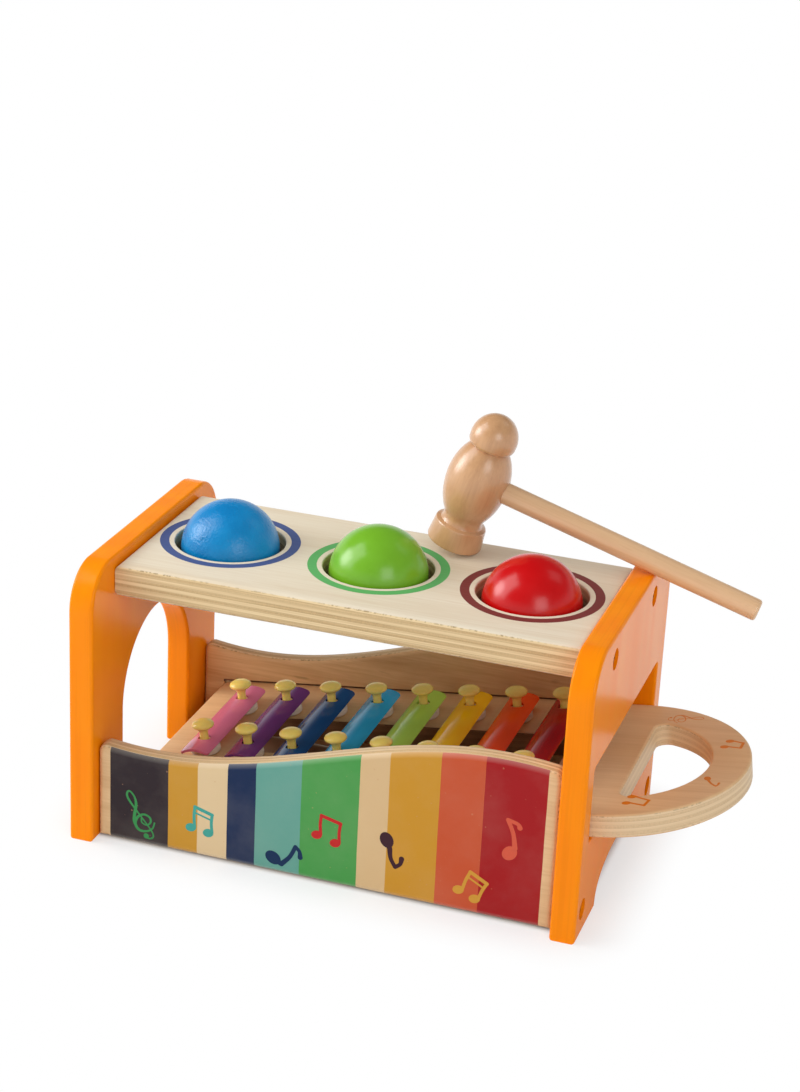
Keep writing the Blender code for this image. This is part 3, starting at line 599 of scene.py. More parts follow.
ORANGE = gloss_paint("orange_gloss", srgb(255, 146, 4), srgb(253, 137, 2), rough=0.2, specular=0.14,
                     plies=0.14, peel=0.04)
FRONT_PLY = striped_panel()
BOARD_PLY = painted_board()
REAR_PLY = rear_plywood()
TRAY_PLY = tray_plywood()
HEAD_BEECH = turned_wood("lacquered_head", *HEAD_TONES)
HANDLE_BEECH = turned_wood("lacquered_handle", *HANDLE_TONES)
RUBBER = plain("rubber_sheet", srgb(44, 42, 40), 0.75, depth=0.3)
SCREW_METAL = plain("yellow_zinc", srgb(206, 150, 56), 0.35, metallic=0.8)
PIN_PLASTIC = plain("cream_plastic", srgb(252, 226, 118), 0.22, depth=0.03, subsurface=0.2)
FELT = plain("white_felt", srgb(232, 216, 198), 0.95, grain=1500, depth=0.6)
BALL_PAINTS = {
    "blue_ball": gloss_paint("blue_gloss", srgb(0, 122, 186), srgb(8, 140, 204), rough=0.25,
                             specular=0.4, peel=0.42, pebble=2.8, dent=BLUE_DENT),
    "green_ball": gloss_paint("green_gloss", srgb(116, 178, 38), srgb(120, 184, 42), rough=0.2),
    "red_ball": gloss_paint("red_gloss", srgb(200, 0, 5), srgb(206, 5, 10), rough=0.2),
}


# ---- Shapes ----
def arc(centre, radius, start, end, step=FINE_ARC):
    """Points from one angle to another, both ends included."""
    count = max(2, round(abs(end - start) / step))
    angles = [start + (end - start) * i / count for i in range(count + 1)]
    return [(centre[0] + radius * math.cos(a), centre[1] + radius * math.sin(a)) for a in angles]


def circle(centre, radius):
    return arc(centre, radius, 0.0, 2 * math.pi)[:-1]


def quarter_turn(steps):
    """Angles from none to a right one, both included."""
    return [QUARTER * i / steps for i in range(steps + 1)]


def rectangle(half, side):
    return [(-half, -side), (half, -side), (half, side), (-half, side)]


def rounded_box(low, high, radius):
    """A rectangle from its low corner to its high one, with round corners."""
    corners = (
        ((high[0] - radius, high[1] - radius), 0.0),
        ((low[0] + radius, high[1] - radius), QUARTER),
        ((low[0] + radius, low[1] + radius), math.pi),
        ((high[0] - radius, low[1] + radius), 3 * QUARTER),
    )
    points = []
    for centre, start in corners:
        points += arc(centre, radius, start, start + QUARTER, COARSE_ARC)
    return points


def link(name, data):
    made = bpy.data.objects.new(name, data)
    bpy.context.scene.collection.objects.link(made)
    return made


def evaluated(thing):
    """The mesh of an object with its curve or modifiers worked out."""
    bpy.context.view_layer.update()
    return bpy.data.meshes.new_from_object(thing.evaluated_get(bpy.context.evaluated_depsgraph_get()))


def settled(shape, mesh):
    """The mesh, or a new one of that name, filled from a worked shape that is then let go."""
    if isinstance(mesh, str):
        mesh = bpy.data.meshes.new(mesh)
    shape.to_mesh(mesh)
    shape.free()
    return mesh


def show(name, mesh, material, matrix, body, node=None):
    """Puts a mesh in the scene, in its place, as a piece that rides on a body and stands for a node.

    The mesh keeps its own coordinates, from before it is placed, for its material to read.
    """
    own = mesh.attributes.new("own", "FLOAT_VECTOR", "POINT")
    for vertex, place in zip(mesh.vertices, own.data):
        place.vector = vertex.co
    mesh.transform(matrix)
    mesh.materials.clear()
    mesh.materials.append(material)
    mesh.shade_smooth()
    mesh.set_sharp_from_angle(angle=SHARP)
    piece = link(name, mesh)
    piece.modifiers.new("flats_stay_flat", "WEIGHTED_NORMAL").keep_sharp = True
    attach(piece, body)
    if node:
        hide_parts(node)


def plate_mesh(name, outlines, thickness, edge):
    """A plate in its own XY plane, thickness along Z, with rounded edges; inner outlines are holes."""
    curve = bpy.data.curves.new(name, "CURVE")
    curve.dimensions = "2D"
    curve.fill_mode = "BOTH"
    curve.extrude = thickness / 2 - edge
    curve.bevel_depth = edge
    curve.bevel_resolution = EDGE_STEPS
    curve.offset = -edge
    for outline in outlines:
        spline = curve.splines.new("POLY")
        spline.points.add(len(outline) - 1)
        for point, (x, y) in zip(spline.points, outline):
            point.co = (x, y, 0.0, 1.0)
        spline.use_cyclic_u = True
    holder = link(name, curve)
    mesh = evaluated(holder)
    bpy.data.objects.remove(holder, do_unlink=True)
    bpy.data.curves.remove(curve)
    mesh.name = name
    shape = bmesh.new()
    shape.from_mesh(mesh)
    bmesh.ops.remove_doubles(shape, verts=shape.verts, dist=WELD)
    bmesh.ops.recalc_face_normals(shape, faces=shape.faces)
    return settled(shape, mesh)


def lathe_mesh(name, profile, sides, closed=False):
    """A shape turned about Z from (radius, height) points that run from its top to its bottom."""
    shape = bmesh.new()
    rings = []
    for radius, height in profile:
        count = sides if radius > WELD else 1
        turns = (2 * math.pi * i / count for i in range(count))
        rings.append([shape.verts.new((radius * math.cos(a), radius * math.sin(a), height))
                      for a in turns])
    pairs = list(zip(rings, rings[1:]))
    if closed:
        pairs.append((rings[-1], rings[0]))
    for upper, lower in pairs:
        for i in range(sides):
            j = (i + 1) % sides
            corners = ((upper, i), (lower, i), (lower, j), (upper, j))
            corners = list(dict.fromkeys(ring[n % len(ring)] for ring, n in corners))
            if len(corners) > 2:
                shape.faces.new(corners)
    bmesh.ops.recalc_face_normals(shape, faces=shape.faces)
    return settled(shape, name)


def without(mesh, cutters, matrix=Matrix.Identity(4)):
    """The mesh with closed cutter meshes, each given with its matrix, taken out."""
    target = link("cut_target", mesh)
    target.matrix_world = matrix
    helpers = [target]
    for cutter, place in cutters:
        helper = link("cutter", cutter)
        helper.matrix_world = place
        helpers.append(helper)
        step = target.modifiers.new("cut", "BOOLEAN")
        step.solver = "EXACT"
        step.object = helper
    result = evaluated(target)
    for helper in helpers:
        bpy.data.objects.remove(helper, do_unlink=True)
    return result


def rolled(mesh, width):
    """The mesh with every edge that turns by over 45 degrees rounded a little."""
    shape = bmesh.new()
    shape.from_mesh(mesh)
    bmesh.ops.dissolve_degenerate(shape, edges=shape.edges, dist=WELD)
    sharp = [e for e in shape.edges if len(e.link_faces) == 2 and e.calc_face_angle() > QUARTER / 2]
    bmesh.ops.bevel(shape, geom=sharp, offset=width, segments=2, profile=0.5, affect="EDGES",
                    clamp_overlap=True)
    return settled(shape, mesh)


def cylinder_mesh(radius, length, sides=CYLINDER_SIDES):
    shape = bmesh.new()
    bmesh.ops.create_cone(shape, cap_ends=True, segments=sides, radius1=radius, radius2=radius,
                          depth=length)
    return settled(shape, "cylinder")


def box_mesh(low, high):
    size = Vector(high) - Vector(low)
    shape = bmesh.new()
    bmesh.ops.create_cube(shape, size=1.0, matrix=Matrix.Diagonal((*size, 1.0)))
    bmesh.ops.translate(shape, verts=shape.verts, vec=(Vector(high) + Vector(low)) / 2)
    return settled(shape, "box")


# ---- The bench ----
def panel_outline(feet):
    half = BENCH_DEPTH / 2
    side = half - PANEL_CORNER
    top = BENCH_HEIGHT - PANEL_CORNER
    outline = [(half, 0.0)]
    outline += arc((side, top), PANEL_CORNER, 0.0, QUARTER)
    outline += arc((-side, top), PANEL_CORNER, QUARTER, math.pi)
    outline.append((-half, 0.0))
    return outline + feet


def left_arch():
    crown = arc((0.0, LEFT_ARCH_TOP - LEFT_ARCH_HALF), LEFT_ARCH_HALF, math.pi, 0.0)
    return [(-LEFT_ARCH_HALF, 0.0)] + crown + [(LEFT_ARCH_HALF, 0.0)]


def right_arch():
    """The low arch between the right panel's feet, a squared ellipse."""
    power = 2 / RIGHT_ARCH_POWER
    points = []
    for i in range(ARCH_STEPS + 1):
        angle = math.pi * (1 - i / ARCH_STEPS)
        across = math.copysign(abs(math.cos(angle)) ** power, math.cos(angle))
        up = abs(math.sin(angle)) ** power if 0 < i < ARCH_STEPS else 0.0
        points.append((RIGHT_ARCH_HALF * across, RIGHT_ARCH_TOP * up))
    return points


def end_panel(name, side, outlines):
    """An orange panel, with the recesses and holes of its screws."""
    mesh = plate_mesh(name, outlines, PANEL_THICK, PANEL_EDGE)
    cutters = []
    for across, up in SCREW_ROWS.values():
        depth = SCREW_RECESS_DEPTH + OVERRUN
        middle = side * (PANEL_THICK / 2 - SCREW_RECESS_DEPTH + depth / 2)
        cutters.append((cylinder_mesh(SCREW_RECESS_RADIUS, depth), shift(across, up, middle)))
        through = cylinder_mesh(SCREW_RADIUS + GAP, PANEL_THICK + OVERRUN)
        cutters.append((through, shift(across, up, 0.0)))
    mesh = without(mesh, cutters)
    place = shift(side * (BENCH_LENGTH - PANEL_THICK) / 2, 0.0, 0.0)
    show(name + "_painted", mesh, ORANGE, BENCH @ place @ FACING_RIGHT, "bench", name)


def screw_mesh():
    """A screw with a shallow dome and a cross recess; its own +Z points out."""
    dome = SCREW_HEAD_RADIUS * SCREW_DOME_SHARE
    profile = [(0.0, 0.0)]
    profile += [(SCREW_HEAD_RADIUS * share, -dome * share ** 2) for share in DOME_STATIONS]
    profile += [
        (SCREW_HEAD_RADIUS, -dome * 1.6),
        (SCREW_HEAD_RADIUS, -SCREW_HEAD_DEPTH),
        (SCREW_RADIUS, -SCREW_HEAD_DEPTH),
        (SCREW_RADIUS, SCREW_RADIUS - SCREW_LENGTH),
        (0.0, -SCREW_LENGTH),
    ]
    sizes = (SCREW_HEAD_RADIUS, SCREW_HEAD_RADIUS, SCREW_HEAD_DEPTH)
    arm, half, depth = (size * share for size, share in zip(sizes, CROSS_SHARES))
    cross = [(box_mesh((-arm, -half, -depth), (arm, half, OVERRUN)), spin(turn, "Z"))
             for turn in (0.0, QUARTER)]
    return without(lathe_mesh("screw", profile, SMALL_SIDES), cross)


def screws():
    """The eight screws, each stopped at a turn of its own."""
    mesh = screw_mesh()
    seat = BENCH_LENGTH / 2 - SCREW_RECESS_DEPTH + GAP + SCREW_HEAD_DEPTH
    for side, word in ((-1, "left"), (1, "right")):
        for i, (row, (across, up)) in enumerate(SCREW_ROWS.items()):
            place = shift(side * seat, across, up) @ spin(side * QUARTER, "Y")
            turned = place @ spin(FIRST_SCREW_TURN + SCREW_TURN_STEP * i + side, "Z")
            name = f"screw_{word}_{row}"
            show(name + "_head", mesh.copy(), SCREW_METAL, BENCH @ turned, "bench", name)


def hole_cutter(radius, thickness, rim):
    """A plug that cuts a round hole with softly rounded rims through a plate."""
    half = thickness / 2
    upper = [(radius + rim - rim * math.sin(a), half - rim + rim * math.cos(a))
             for a in quarter_turn(RIM_STEPS)]
    profile = [(0.0, half + OVERRUN), (radius + rim, half + OVERRUN)] + upper
    profile += [(across, -up) for across, up in upper[::-1]]
    profile += [(radius + rim, -half - OVERRUN), (0.0, -half - OVERRUN)]
    return lathe_mesh("hole", profile, HOLE_SIDES)


def top_board():
    half, side = INNER_X - GAP, BOARD_DEPTH / 2
    mesh = plate_mesh("top_board", [rectangle(half, side)], BOARD_THICK, BOARD_EDGE)
    reach = half - GRIP_END_MARGIN + GAP
    wide = side - GRIP_SIDE_MARGIN + GAP
    under = -BOARD_THICK / 2
    recess = box_mesh((-reach, -wide, under - OVERRUN), (reach, wide, under + GRIP_THICK + GAP))
    cutters = [(hole_cutter(HOLE_RADIUS, BOARD_THICK, HOLE_RIM), shift(x, 0.0, 0.0))
               for x in HOLE_PLACES]
    mesh = without(mesh, cutters + [(recess, Matrix.Identity(4))])
    middle = shift(0.0, 0.0, BOARD_TOP - BOARD_THICK / 2)
    show("top_board_ply", mesh, BOARD_PLY, BENCH @ middle, "bench", "top_board")


def grip_sheet():
    """The rubber sheet, whose holes just clear the balls where they are widest inside it."""
    outline = rectangle(INNER_X - GAP - GRIP_END_MARGIN, BOARD_DEPTH / 2 - GRIP_SIDE_MARGIN)
    holes = []
    for place, drop in zip(HOLE_PLACES, BALL_DROPS.values()):
        down = BOARD_THICK - drop - GRIP_THICK
        holes.append(circle((place, 0.0), math.sqrt(BALL_RADIUS ** 2 - down ** 2) + GAP))
    mesh = plate_mesh("grip_sheet", [outline] + holes, GRIP_THICK, GRIP_EDGE)
    middle = shift(0.0, 0.0, BOARD_UNDER + GRIP_THICK / 2)
    show("grip_sheet_rubber", mesh, RUBBER, BENCH @ middle, "bench", "ball_grip_sheet")


def balls():
    for place, (name, drop) in zip(HOLE_PLACES, BALL_DROPS.items()):
        shape = bmesh.new()
        bmesh.ops.create_uvsphere(shape, u_segments=BALL_SEGMENTS,
                                  v_segments=BALL_SEGMENTS // 2, radius=BALL_RADIUS)
        mesh = settled(shape, name)
        middle = shift(place, 0.0, BOARD_TOP - drop)
        show(name + "_painted", mesh, BALL_PAINTS[name], BENCH @ middle, name, name)


def waved_panel(name, side, thickness, wave_sizes, material):
    """A panel drawn in XY, its own +Z towards the front, with the tray's groove in its inner face."""
    middle, rise, low_from_end, crest_from_end = wave_sizes
    half = INNER_X - GAP
    start = -INNER_X + low_from_end
    length = INNER_X - crest_from_end - start
    flat = half - WAVE_CORNER
    wave = [(x, middle - rise * math.cos(math.pi * (x - start) / length))
            for x in (flat - 2 * flat * i / WAVE_STEPS for i in range(WAVE_STEPS + 1))]
    outline = [(-half, PANEL_LIFT), (half, PANEL_LIFT)]
    outline += arc((flat, wave[0][1] - WAVE_CORNER), WAVE_CORNER, 0.0, QUARTER, COARSE_ARC)[:-1]
    outline += wave
    outline += arc((-flat, wave[-1][1] - WAVE_CORNER), WAVE_CORNER, QUARTER, math.pi, COARSE_ARC)[1:]
    mesh = plate_mesh(name, [outline], thickness, WAVE_EDGE)
    stand = shift(0.0, side * (INNER_FRONT + thickness / 2), 0.0) @ FACING_FRONT
    near, far = INNER_FRONT - OVERRUN, TRAY_HALF + GROOVE_PLAY
    low_y, high_y = (near, far) if side > 0 else (-far, -near)
    groove = box_mesh((TRAY_LEFT_END - GROOVE_END_PLAY, low_y, -TRAY_THICK - GROOVE_PLAY),
                      (BENCH_LENGTH / 2, high_y, GROOVE_PLAY))
    mesh = without(mesh, [(groove, TRAY)], BENCH @ stand)
    show(name + "_ply", mesh, material, BENCH @ stand, "bench", name)


# ---- The xylophone tray ----
def finger_hole():
    """A D: a straight side next to the bench, then an arc concentric with the handle."""
    radius = TRAY_HALF - HANDLE_BAND
    corner = FINGER_HOLE_CORNER
    along = FINGER_HOLE_FROM_CENTRE + corner
    across = math.sqrt((radius - corner) ** 2 - along ** 2)
    turn = math.atan2(across, along)
    upper = (HANDLE_CENTRE + along, across)
    lower = (HANDLE_CENTRE + along, -across)
    outline = arc((HANDLE_CENTRE, 0.0), radius, -turn, turn)
    outline += arc(upper, corner, turn, math.pi, CORNER_ARC)[1:]
    outline += arc(lower, corner, math.pi, 2 * math.pi - turn, CORNER_ARC)[:-1]
    return outline


def bar_length(k):
    return SHORTEST_BAR + BAR_GROWTH * k


def pin_half(k):
    return bar_length(k) / 2 - PIN_INSET - PIN_INSET_GROWTH * k


def bar_place(k):
    return FIRST_BAR + BAR_PITCH * k


def tray_board():
    inset, left = TRAY_HALF - TRAY_CORNER, TRAY_LEFT_END + TRAY_CORNER
    outline = arc((HANDLE_CENTRE, 0.0), TRAY_HALF, -QUARTER, QUARTER)
    outline += arc((left, inset), TRAY_CORNER, QUARTER, math.pi, CORNER_ARC)
    outline += arc((left, -inset), TRAY_CORNER, math.pi, 3 * QUARTER, CORNER_ARC)
    slot = rounded_box(*SOUND_SLOT, SOUND_SLOT_CORNER)
    mesh = plate_mesh("tray", [outline, finger_hole(), slot], TRAY_THICK, TRAY_EDGE)
    sunk = shift(0.0, 0.0, -TRAY_THICK / 2)
    bores = [(cylinder_mesh(PIN_RADIUS + GAP, TRAY_THICK + OVERRUN, BORE_SIDES),
              shift(bar_place(k), side * pin_half(k), 0.0))
             for k in range(len(BARS)) for side in (-1, 1)]
    show("tray_ply", without(mesh, bores), TRAY_PLY, TRAY @ sunk, "xylophone", "xylophone_board")


def bar_mesh(length):
    """A plate with round corners, bent to an arc about its own length; its lowest edge is at z 0."""
    half = length / 2
    outline = arc((BAR_WIDTH / 2 - BAR_CORNER, half - BAR_CORNER), BAR_CORNER, 0.0, QUARTER, CORNER_ARC)
    spread = BAR_ANGLE / (BAR_WIDTH / 2)
    right = [(x * spread, y) for x, y in outline]
    flat = right[-1][0]
    crown = [(flat * share, half) for share in BAR_STATIONS]
    stations = right + crown + [(-angle, y) for angle, y in right[::-1]]
    inner = BAR_OUTER - BAR_THICK
    base = inner * math.cos(BAR_ANGLE)
    shape = bmesh.new()
    rows = []
    for angle, y in stations:
        corners = ((BAR_OUTER, y), (BAR_OUTER, -y), (inner, -y), (inner, y))
        rows.append([shape.verts.new((radius * math.sin(angle), end, radius * math.cos(angle) - base))
                     for radius, end in corners])
    for near, far in zip(rows, rows[1:]):
        for i in range(4):
            j = (i + 1) % 4
            shape.faces.new((near[i], near[j], far[j], far[i]))
    shape.faces.new(rows[0])
    shape.faces.new(rows[-1])
    bmesh.ops.recalc_face_normals(shape, faces=shape.faces)
    return settled(shape, "bar")


def bars():
    for k, (word, colour) in enumerate(zip(BARS, BAR_COLOURS)):
        holes = [(cylinder_mesh(BAR_HOLE_RADIUS, BAR_WIDTH, BAR_HOLE_SIDES),
                  shift(0.0, side * pin_half(k), 0.0)) for side in (-1, 1)]
        mesh = rolled(without(bar_mesh(bar_length(k)), holes), BAR_THICK * BAR_ROLL_SHARE)
        place = TRAY @ shift(bar_place(k), 0.0, BAR_SEAT)
        show(f"bar_{word}_enamel", mesh, enamel(word + "_enamel", colour), place, "xylophone",
             "bar_" + word)


def pins_and_spacers():
    rim = PIN_TOP - PIN_HEAD_HEIGHT / 2
    bend = [math.radians(90 - PIN_HEAD_STEP * i) for i in range(PIN_HEAD_STEPS + 1)]
    stem = [(PIN_HEAD_RADIUS * math.cos(a), rim + PIN_HEAD_HEIGHT / 2 * math.sin(a)) for a in bend]
    under = rim - PIN_HEAD_HEIGHT / 2 - PIN_FLARE
    neck = stem[-1]
    stem[0] = (0.0, PIN_TOP)
    for share in (0.25, 0.5, 0.75, 1.0):
        flare = (PIN_RADIUS - neck[0]) * share ** 0.6
        stem.append((neck[0] + flare, neck[1] + (under - neck[1]) * share))
    stem += [(PIN_RADIUS, -PIN_DEPTH), (0.0, -PIN_DEPTH)]
    pin = lathe_mesh("pin", stem, SMALL_SIDES)
    bore, soft = PIN_RADIUS + GAP, SPACER_HEIGHT * SPACER_SOFT_SHARE
    ring = [
        (bore, SPACER_HEIGHT - GAP),
        (bore + soft, SPACER_HEIGHT),
        (SPACER_RADIUS - soft, SPACER_HEIGHT),
        (SPACER_RADIUS, SPACER_HEIGHT - soft),
        (SPACER_RADIUS, GAP + soft),
        (SPACER_RADIUS - soft, GAP),
        (bore, GAP),
    ]
    spacer = lathe_mesh("spacer", ring, SMALL_SIDES, closed=True)
    for k in range(len(BARS)):
        for side, word in ((-1, "front"), (1, "rear")):
            place = TRAY @ shift(bar_place(k), side * pin_half(k), 0.0)
            ending = f"{word}_{k + 1}"
            show("spacer_felt_" + ending, spacer.copy(), FELT, place, "xylophone", "spacer_" + ending)
            show("pin_moulded_" + ending, pin.copy(), PIN_PLASTIC, place, "xylophone", "pin_" + ending)


# ---- The mallet ----
def barrel_half(end_radius, end_height):
    """Half of the head's barrel as an ellipse, from its belly to the given end, belly included."""
    turn = math.acos(end_radius / BELLY_RADIUS)
    reach = (end_height - BELLY_HEIGHT) / math.sin(turn)
    angles = [turn * i / BARREL_STEPS for i in range(BARREL_STEPS + 1)]
    return [(BELLY_RADIUS * math.cos(a), BELLY_HEIGHT + reach * math.sin(a)) for a in angles]


def head_profile():
    """The turned head, from the top of its cap down to its striking face."""
    cap = HEAD_LENGTH - CAP_WIDEST_HEIGHT
    profile = [(CAP_RADIUS * math.sin(a), CAP_WIDEST_HEIGHT + cap * math.cos(a))
               for a in quarter_turn(CAP_STEPS)]
    profile += [
        (CAP_RADIUS - FACE_EDGE * 0.15, CAP_LIP_HEIGHT + FACE_EDGE * 1.4),
        (CAP_RADIUS - FACE_EDGE / 2, CAP_LIP_HEIGHT + FACE_EDGE * 0.4),
        (CAP_RADIUS - FACE_EDGE, CAP_LIP_HEIGHT),
    ]
    profile += barrel_half(NECK_RADIUS, NECK_HEIGHT)[::-1]
    profile += barrel_half(BARREL_FOOT_RADIUS, BARREL_FOOT_HEIGHT)[1:]
    profile += [
        ((WAIST_RADIUS + BARREL_FOOT_RADIUS) / 2 - FACE_EDGE * 0.1,
         (WAIST_HEIGHT + BARREL_FOOT_HEIGHT) / 2),
        (WAIST_RADIUS, WAIST_HEIGHT),
        (WAIST_RADIUS + FACE_EDGE * 0.1, FACE_HEIGHT + FACE_EDGE * 1.6),
        (WAIST_RADIUS + FACE_EDGE * 0.6, FACE_HEIGHT + FACE_EDGE * 0.4),
        (FACE_TOP_RADIUS - FACE_EDGE, FACE_HEIGHT),
        (FACE_TOP_RADIUS - FACE_EDGE * 0.3, FACE_HEIGHT - FACE_EDGE * 0.3),
        (FACE_TOP_RADIUS, FACE_HEIGHT - FACE_EDGE),
        (FACE_RADIUS, FACE_EDGE),
        (FACE_RADIUS - FACE_EDGE * 0.3, FACE_EDGE * 0.3),
        (FACE_RADIUS - FACE_EDGE, 0.0),
        (0.0, 0.0),
    ]
    return profile


def mallet():
    """The mallet, its face's rim on the board and its handle on the right panel's top edge."""
    foot = FACE_RADIUS - FACE_EDGE
    stand = HOLE_SPACING / 3
    under = BELLY_HEIGHT - MALLET_HANDLE_RADIUS - PANEL_EDGE - GAP
    run = BENCH_LENGTH / 2 - PANEL_EDGE - (stand + foot)
    rise = BENCH_HEIGHT - PANEL_EDGE - (BOARD_TOP + GAP)
    tilt = math.asin(under / math.hypot(run, rise)) - math.atan2(rise, run)
    place = shift(stand + foot, BOARD_DEPTH / 2 - MALLET_MARGIN, BOARD_TOP + GAP)
    base = BENCH @ place @ spin(tilt, "Y") @ shift(-foot, 0.0, 0.0)
    reach, start, edge = MALLET_HANDLE_REACH, MALLET_SOCKET_START, MALLET_HANDLE_EDGE
    length = BELLY_RADIUS + OVERRUN - start + GAP
    socket = (cylinder_mesh(MALLET_HANDLE_RADIUS + GAP / 2, length),
              shift(start - GAP + length / 2, 0.0, BELLY_HEIGHT) @ spin(QUARTER, "Y"))
    head = without(lathe_mesh("head", head_profile(), HEAD_SIDES), [socket])
    show("mallet_head_turned", head, HEAD_BEECH, base, "mallet", "mallet_head")
    round_end = [(MALLET_HANDLE_RADIUS - edge + edge * math.sin(a), reach - edge + edge * math.cos(a))
                 for a in quarter_turn(RIM_STEPS)]
    profile = [(0.0, reach)] + round_end + [(MALLET_HANDLE_RADIUS, start), (0.0, start)]
    along = shift(0.0, 0.0, BELLY_HEIGHT) @ spin(QUARTER, "Y")
    handle = lathe_mesh("handle", profile, HANDLE_SIDES)
    show("mallet_handle_turned", handle, HANDLE_BEECH, base @ along, "mallet", "mallet_handle")


# ---- Painted music signs ----
def smooth_line(points):
    """A smooth line through (x, y, width) points, one point for each step between them."""
    line = []
    for i in range(len(points) - 1):
        four = [points[min(max(j, 0), len(points) - 1)] for j in (i - 1, i, i + 1, i + 2)]
        for step in range(STROKE_STEPS):
            t = step / STROKE_STEPS
            line.append(tuple(
                b + 0.5 * t * ((c - a) + t * ((2 * a - 5 * b + 4 * c - d) + t * (3 * (b - c) + d - a)))
                for a, b, c, d in zip(*four)))
    return line + [tuple(points[-1])]


def stroke(points):
    """The polygons of a brush stroke through (x, y, width) points."""
    line = smooth_line(points) if len(points) > 2 else points
    shapes = [spot(x, y, width / 2) for x, y, width in line]
    for (x0, y0, w0), (x1, y1, w1) in zip(line, line[1:]):
        length = math.hypot(x1 - x0, y1 - y0)
        u, v = (y0 - y1) / length / 2, (x1 - x0) / length / 2
        ends = ((x0, y0, w0), (x0, y0, -w0), (x1, y1, -w1), (x1, y1, w1))
        shapes.append([(x + u * w, y + v * w) for x, y, w in ends])
    return shapes


def spot(x, y, radius, squash=1.0, lean=0.0):
    """An ellipse's outline, its long axis leaning up from X."""
    outline = []
    for i in range(SPOT_SIDES):
        a = 2 * math.pi * i / SPOT_SIDES
        along, across = radius * math.cos(a), radius * squash * math.sin(a)
        outline.append((x + along * math.cos(lean) - across * math.sin(lean),
                        y + along * math.sin(lean) + across * math.cos(lean)))
    return outline


def clef(bottom, top, weight=0.6, spread=1.0):
    """A G clef of arcs, from the foot of its hook to the top of its loop."""
    path = (
        (0.03, 0.415, 0.05), (0.005, 0.345, 0.045), (0.07, 0.275, 0.045), (0.165, 0.30, 0.06),
        (0.195, 0.39, 0.065), (0.12, 0.475, 0.065), (0.0, 0.475, 0.075), (-0.105, 0.40, 0.085),
        (-0.135, 0.30, 0.09), (-0.09, 0.21, 0.08), (0.03, 0.165, 0.06), (0.15, 0.185, 0.05),
        (0.235, 0.27, 0.05),
    )
    spine = (
        (-0.135, 0.30, 0.07), (-0.125, 0.42, 0.09), (-0.03, 0.57, 0.095), (0.06, 0.70, 0.085),
        (0.095, 0.83, 0.06), (0.07, 0.945, 0.055), (0.02, 0.965, 0.06), (-0.03, 0.90, 0.07),
        (-0.03, 0.78, 0.07), (0.02, 0.55, 0.05), (0.09, 0.25, 0.045), (0.11, 0.10, 0.045),
        (0.08, 0.025, 0.05), (0.0, 0.02, 0.05), (-0.04, 0.07, 0.06),
    )
    rise = (top[0] - bottom[0], top[1] - bottom[1])
    height = math.hypot(*rise)
    up = (rise[0] / height, rise[1] / height)

    def place(x, y, width):
        x, y = x * height * spread, y * height
        return (bottom[0] + x * up[1] + y * up[0], bottom[1] - x * up[0] + y * up[1],
                width * height * weight)

    ball = spot(*place(-0.035, 0.085, 0.085))
    return stroke([place(*p) for p in path]) + stroke([place(*p) for p in spine]) + [ball]


def note_head(x, y, size, lean=0.3):
    return spot(x, y, size, 0.8, lean)


def beamed(heads, tops, size, beams):
    """Two notes under one or two beams."""
    shapes = []
    stem = size * 0.56
    seconds = []
    for (x, y), top in zip(heads, tops):
        foot = (x + size * 0.72, y + size * 0.25)
        middle = ((foot[0] + top[0]) / 2 - stem * 0.25, (foot[1] + top[1]) / 2)
        shapes.append(note_head(x, y, size))
        shapes += stroke([(*foot, stem), (*middle, stem), (*top, stem)])
        share = size * 1.1 / math.dist(foot, top)
        seconds.append((top[0] + (foot[0] - top[0]) * share, top[1] + (foot[1] - top[1]) * share))
    shapes += stroke([(*tops[0], size * 0.66), (*tops[1], size * 0.66)])
    if beams == 2:
        shapes += stroke([(*seconds[0], size * 0.34), (*seconds[1], size * 0.34)])
    return shapes


def quaver(middle, foot, top, flag, size):
    """One bold note: its stem bows a little and its flag curls to a small ball."""
    bow = size * 0.22
    rise = (top[0] - foot[0], top[1] - foot[1])
    length = math.hypot(*rise)
    waist = (foot[0] + rise[0] / 2 + bow * rise[1] / length,
             foot[1] + rise[1] / 2 - bow * rise[0] / length)
    bend = (top[0] + (flag[0] - top[0]) * 0.8, top[1] + (flag[1] - top[1]) * 0.4)
    shapes = [note_head(*middle, size, math.atan2(foot[1] - middle[1], foot[0] - middle[0]))]
    shapes += stroke([(*middle, size * 0.9), (*foot, size * 0.62)])
    shapes += stroke([(*foot, size * 0.62), (*waist, size * 0.50), (*top, size * 0.50)])
    shapes += stroke([(*top, size * 0.50), (*bend, size * 0.46), (*flag, size * 0.62)])
    return shapes


def covers(outline, place):
    """Whether a convex outline, drawn anticlockwise, holds a point."""
    return all((x1 - x0) * (place.y - y0) >= (y1 - y0) * (place.x - x0)
               for (x0, y0), (x1, y1) in zip(outline, outline[1:] + outline[:1]))


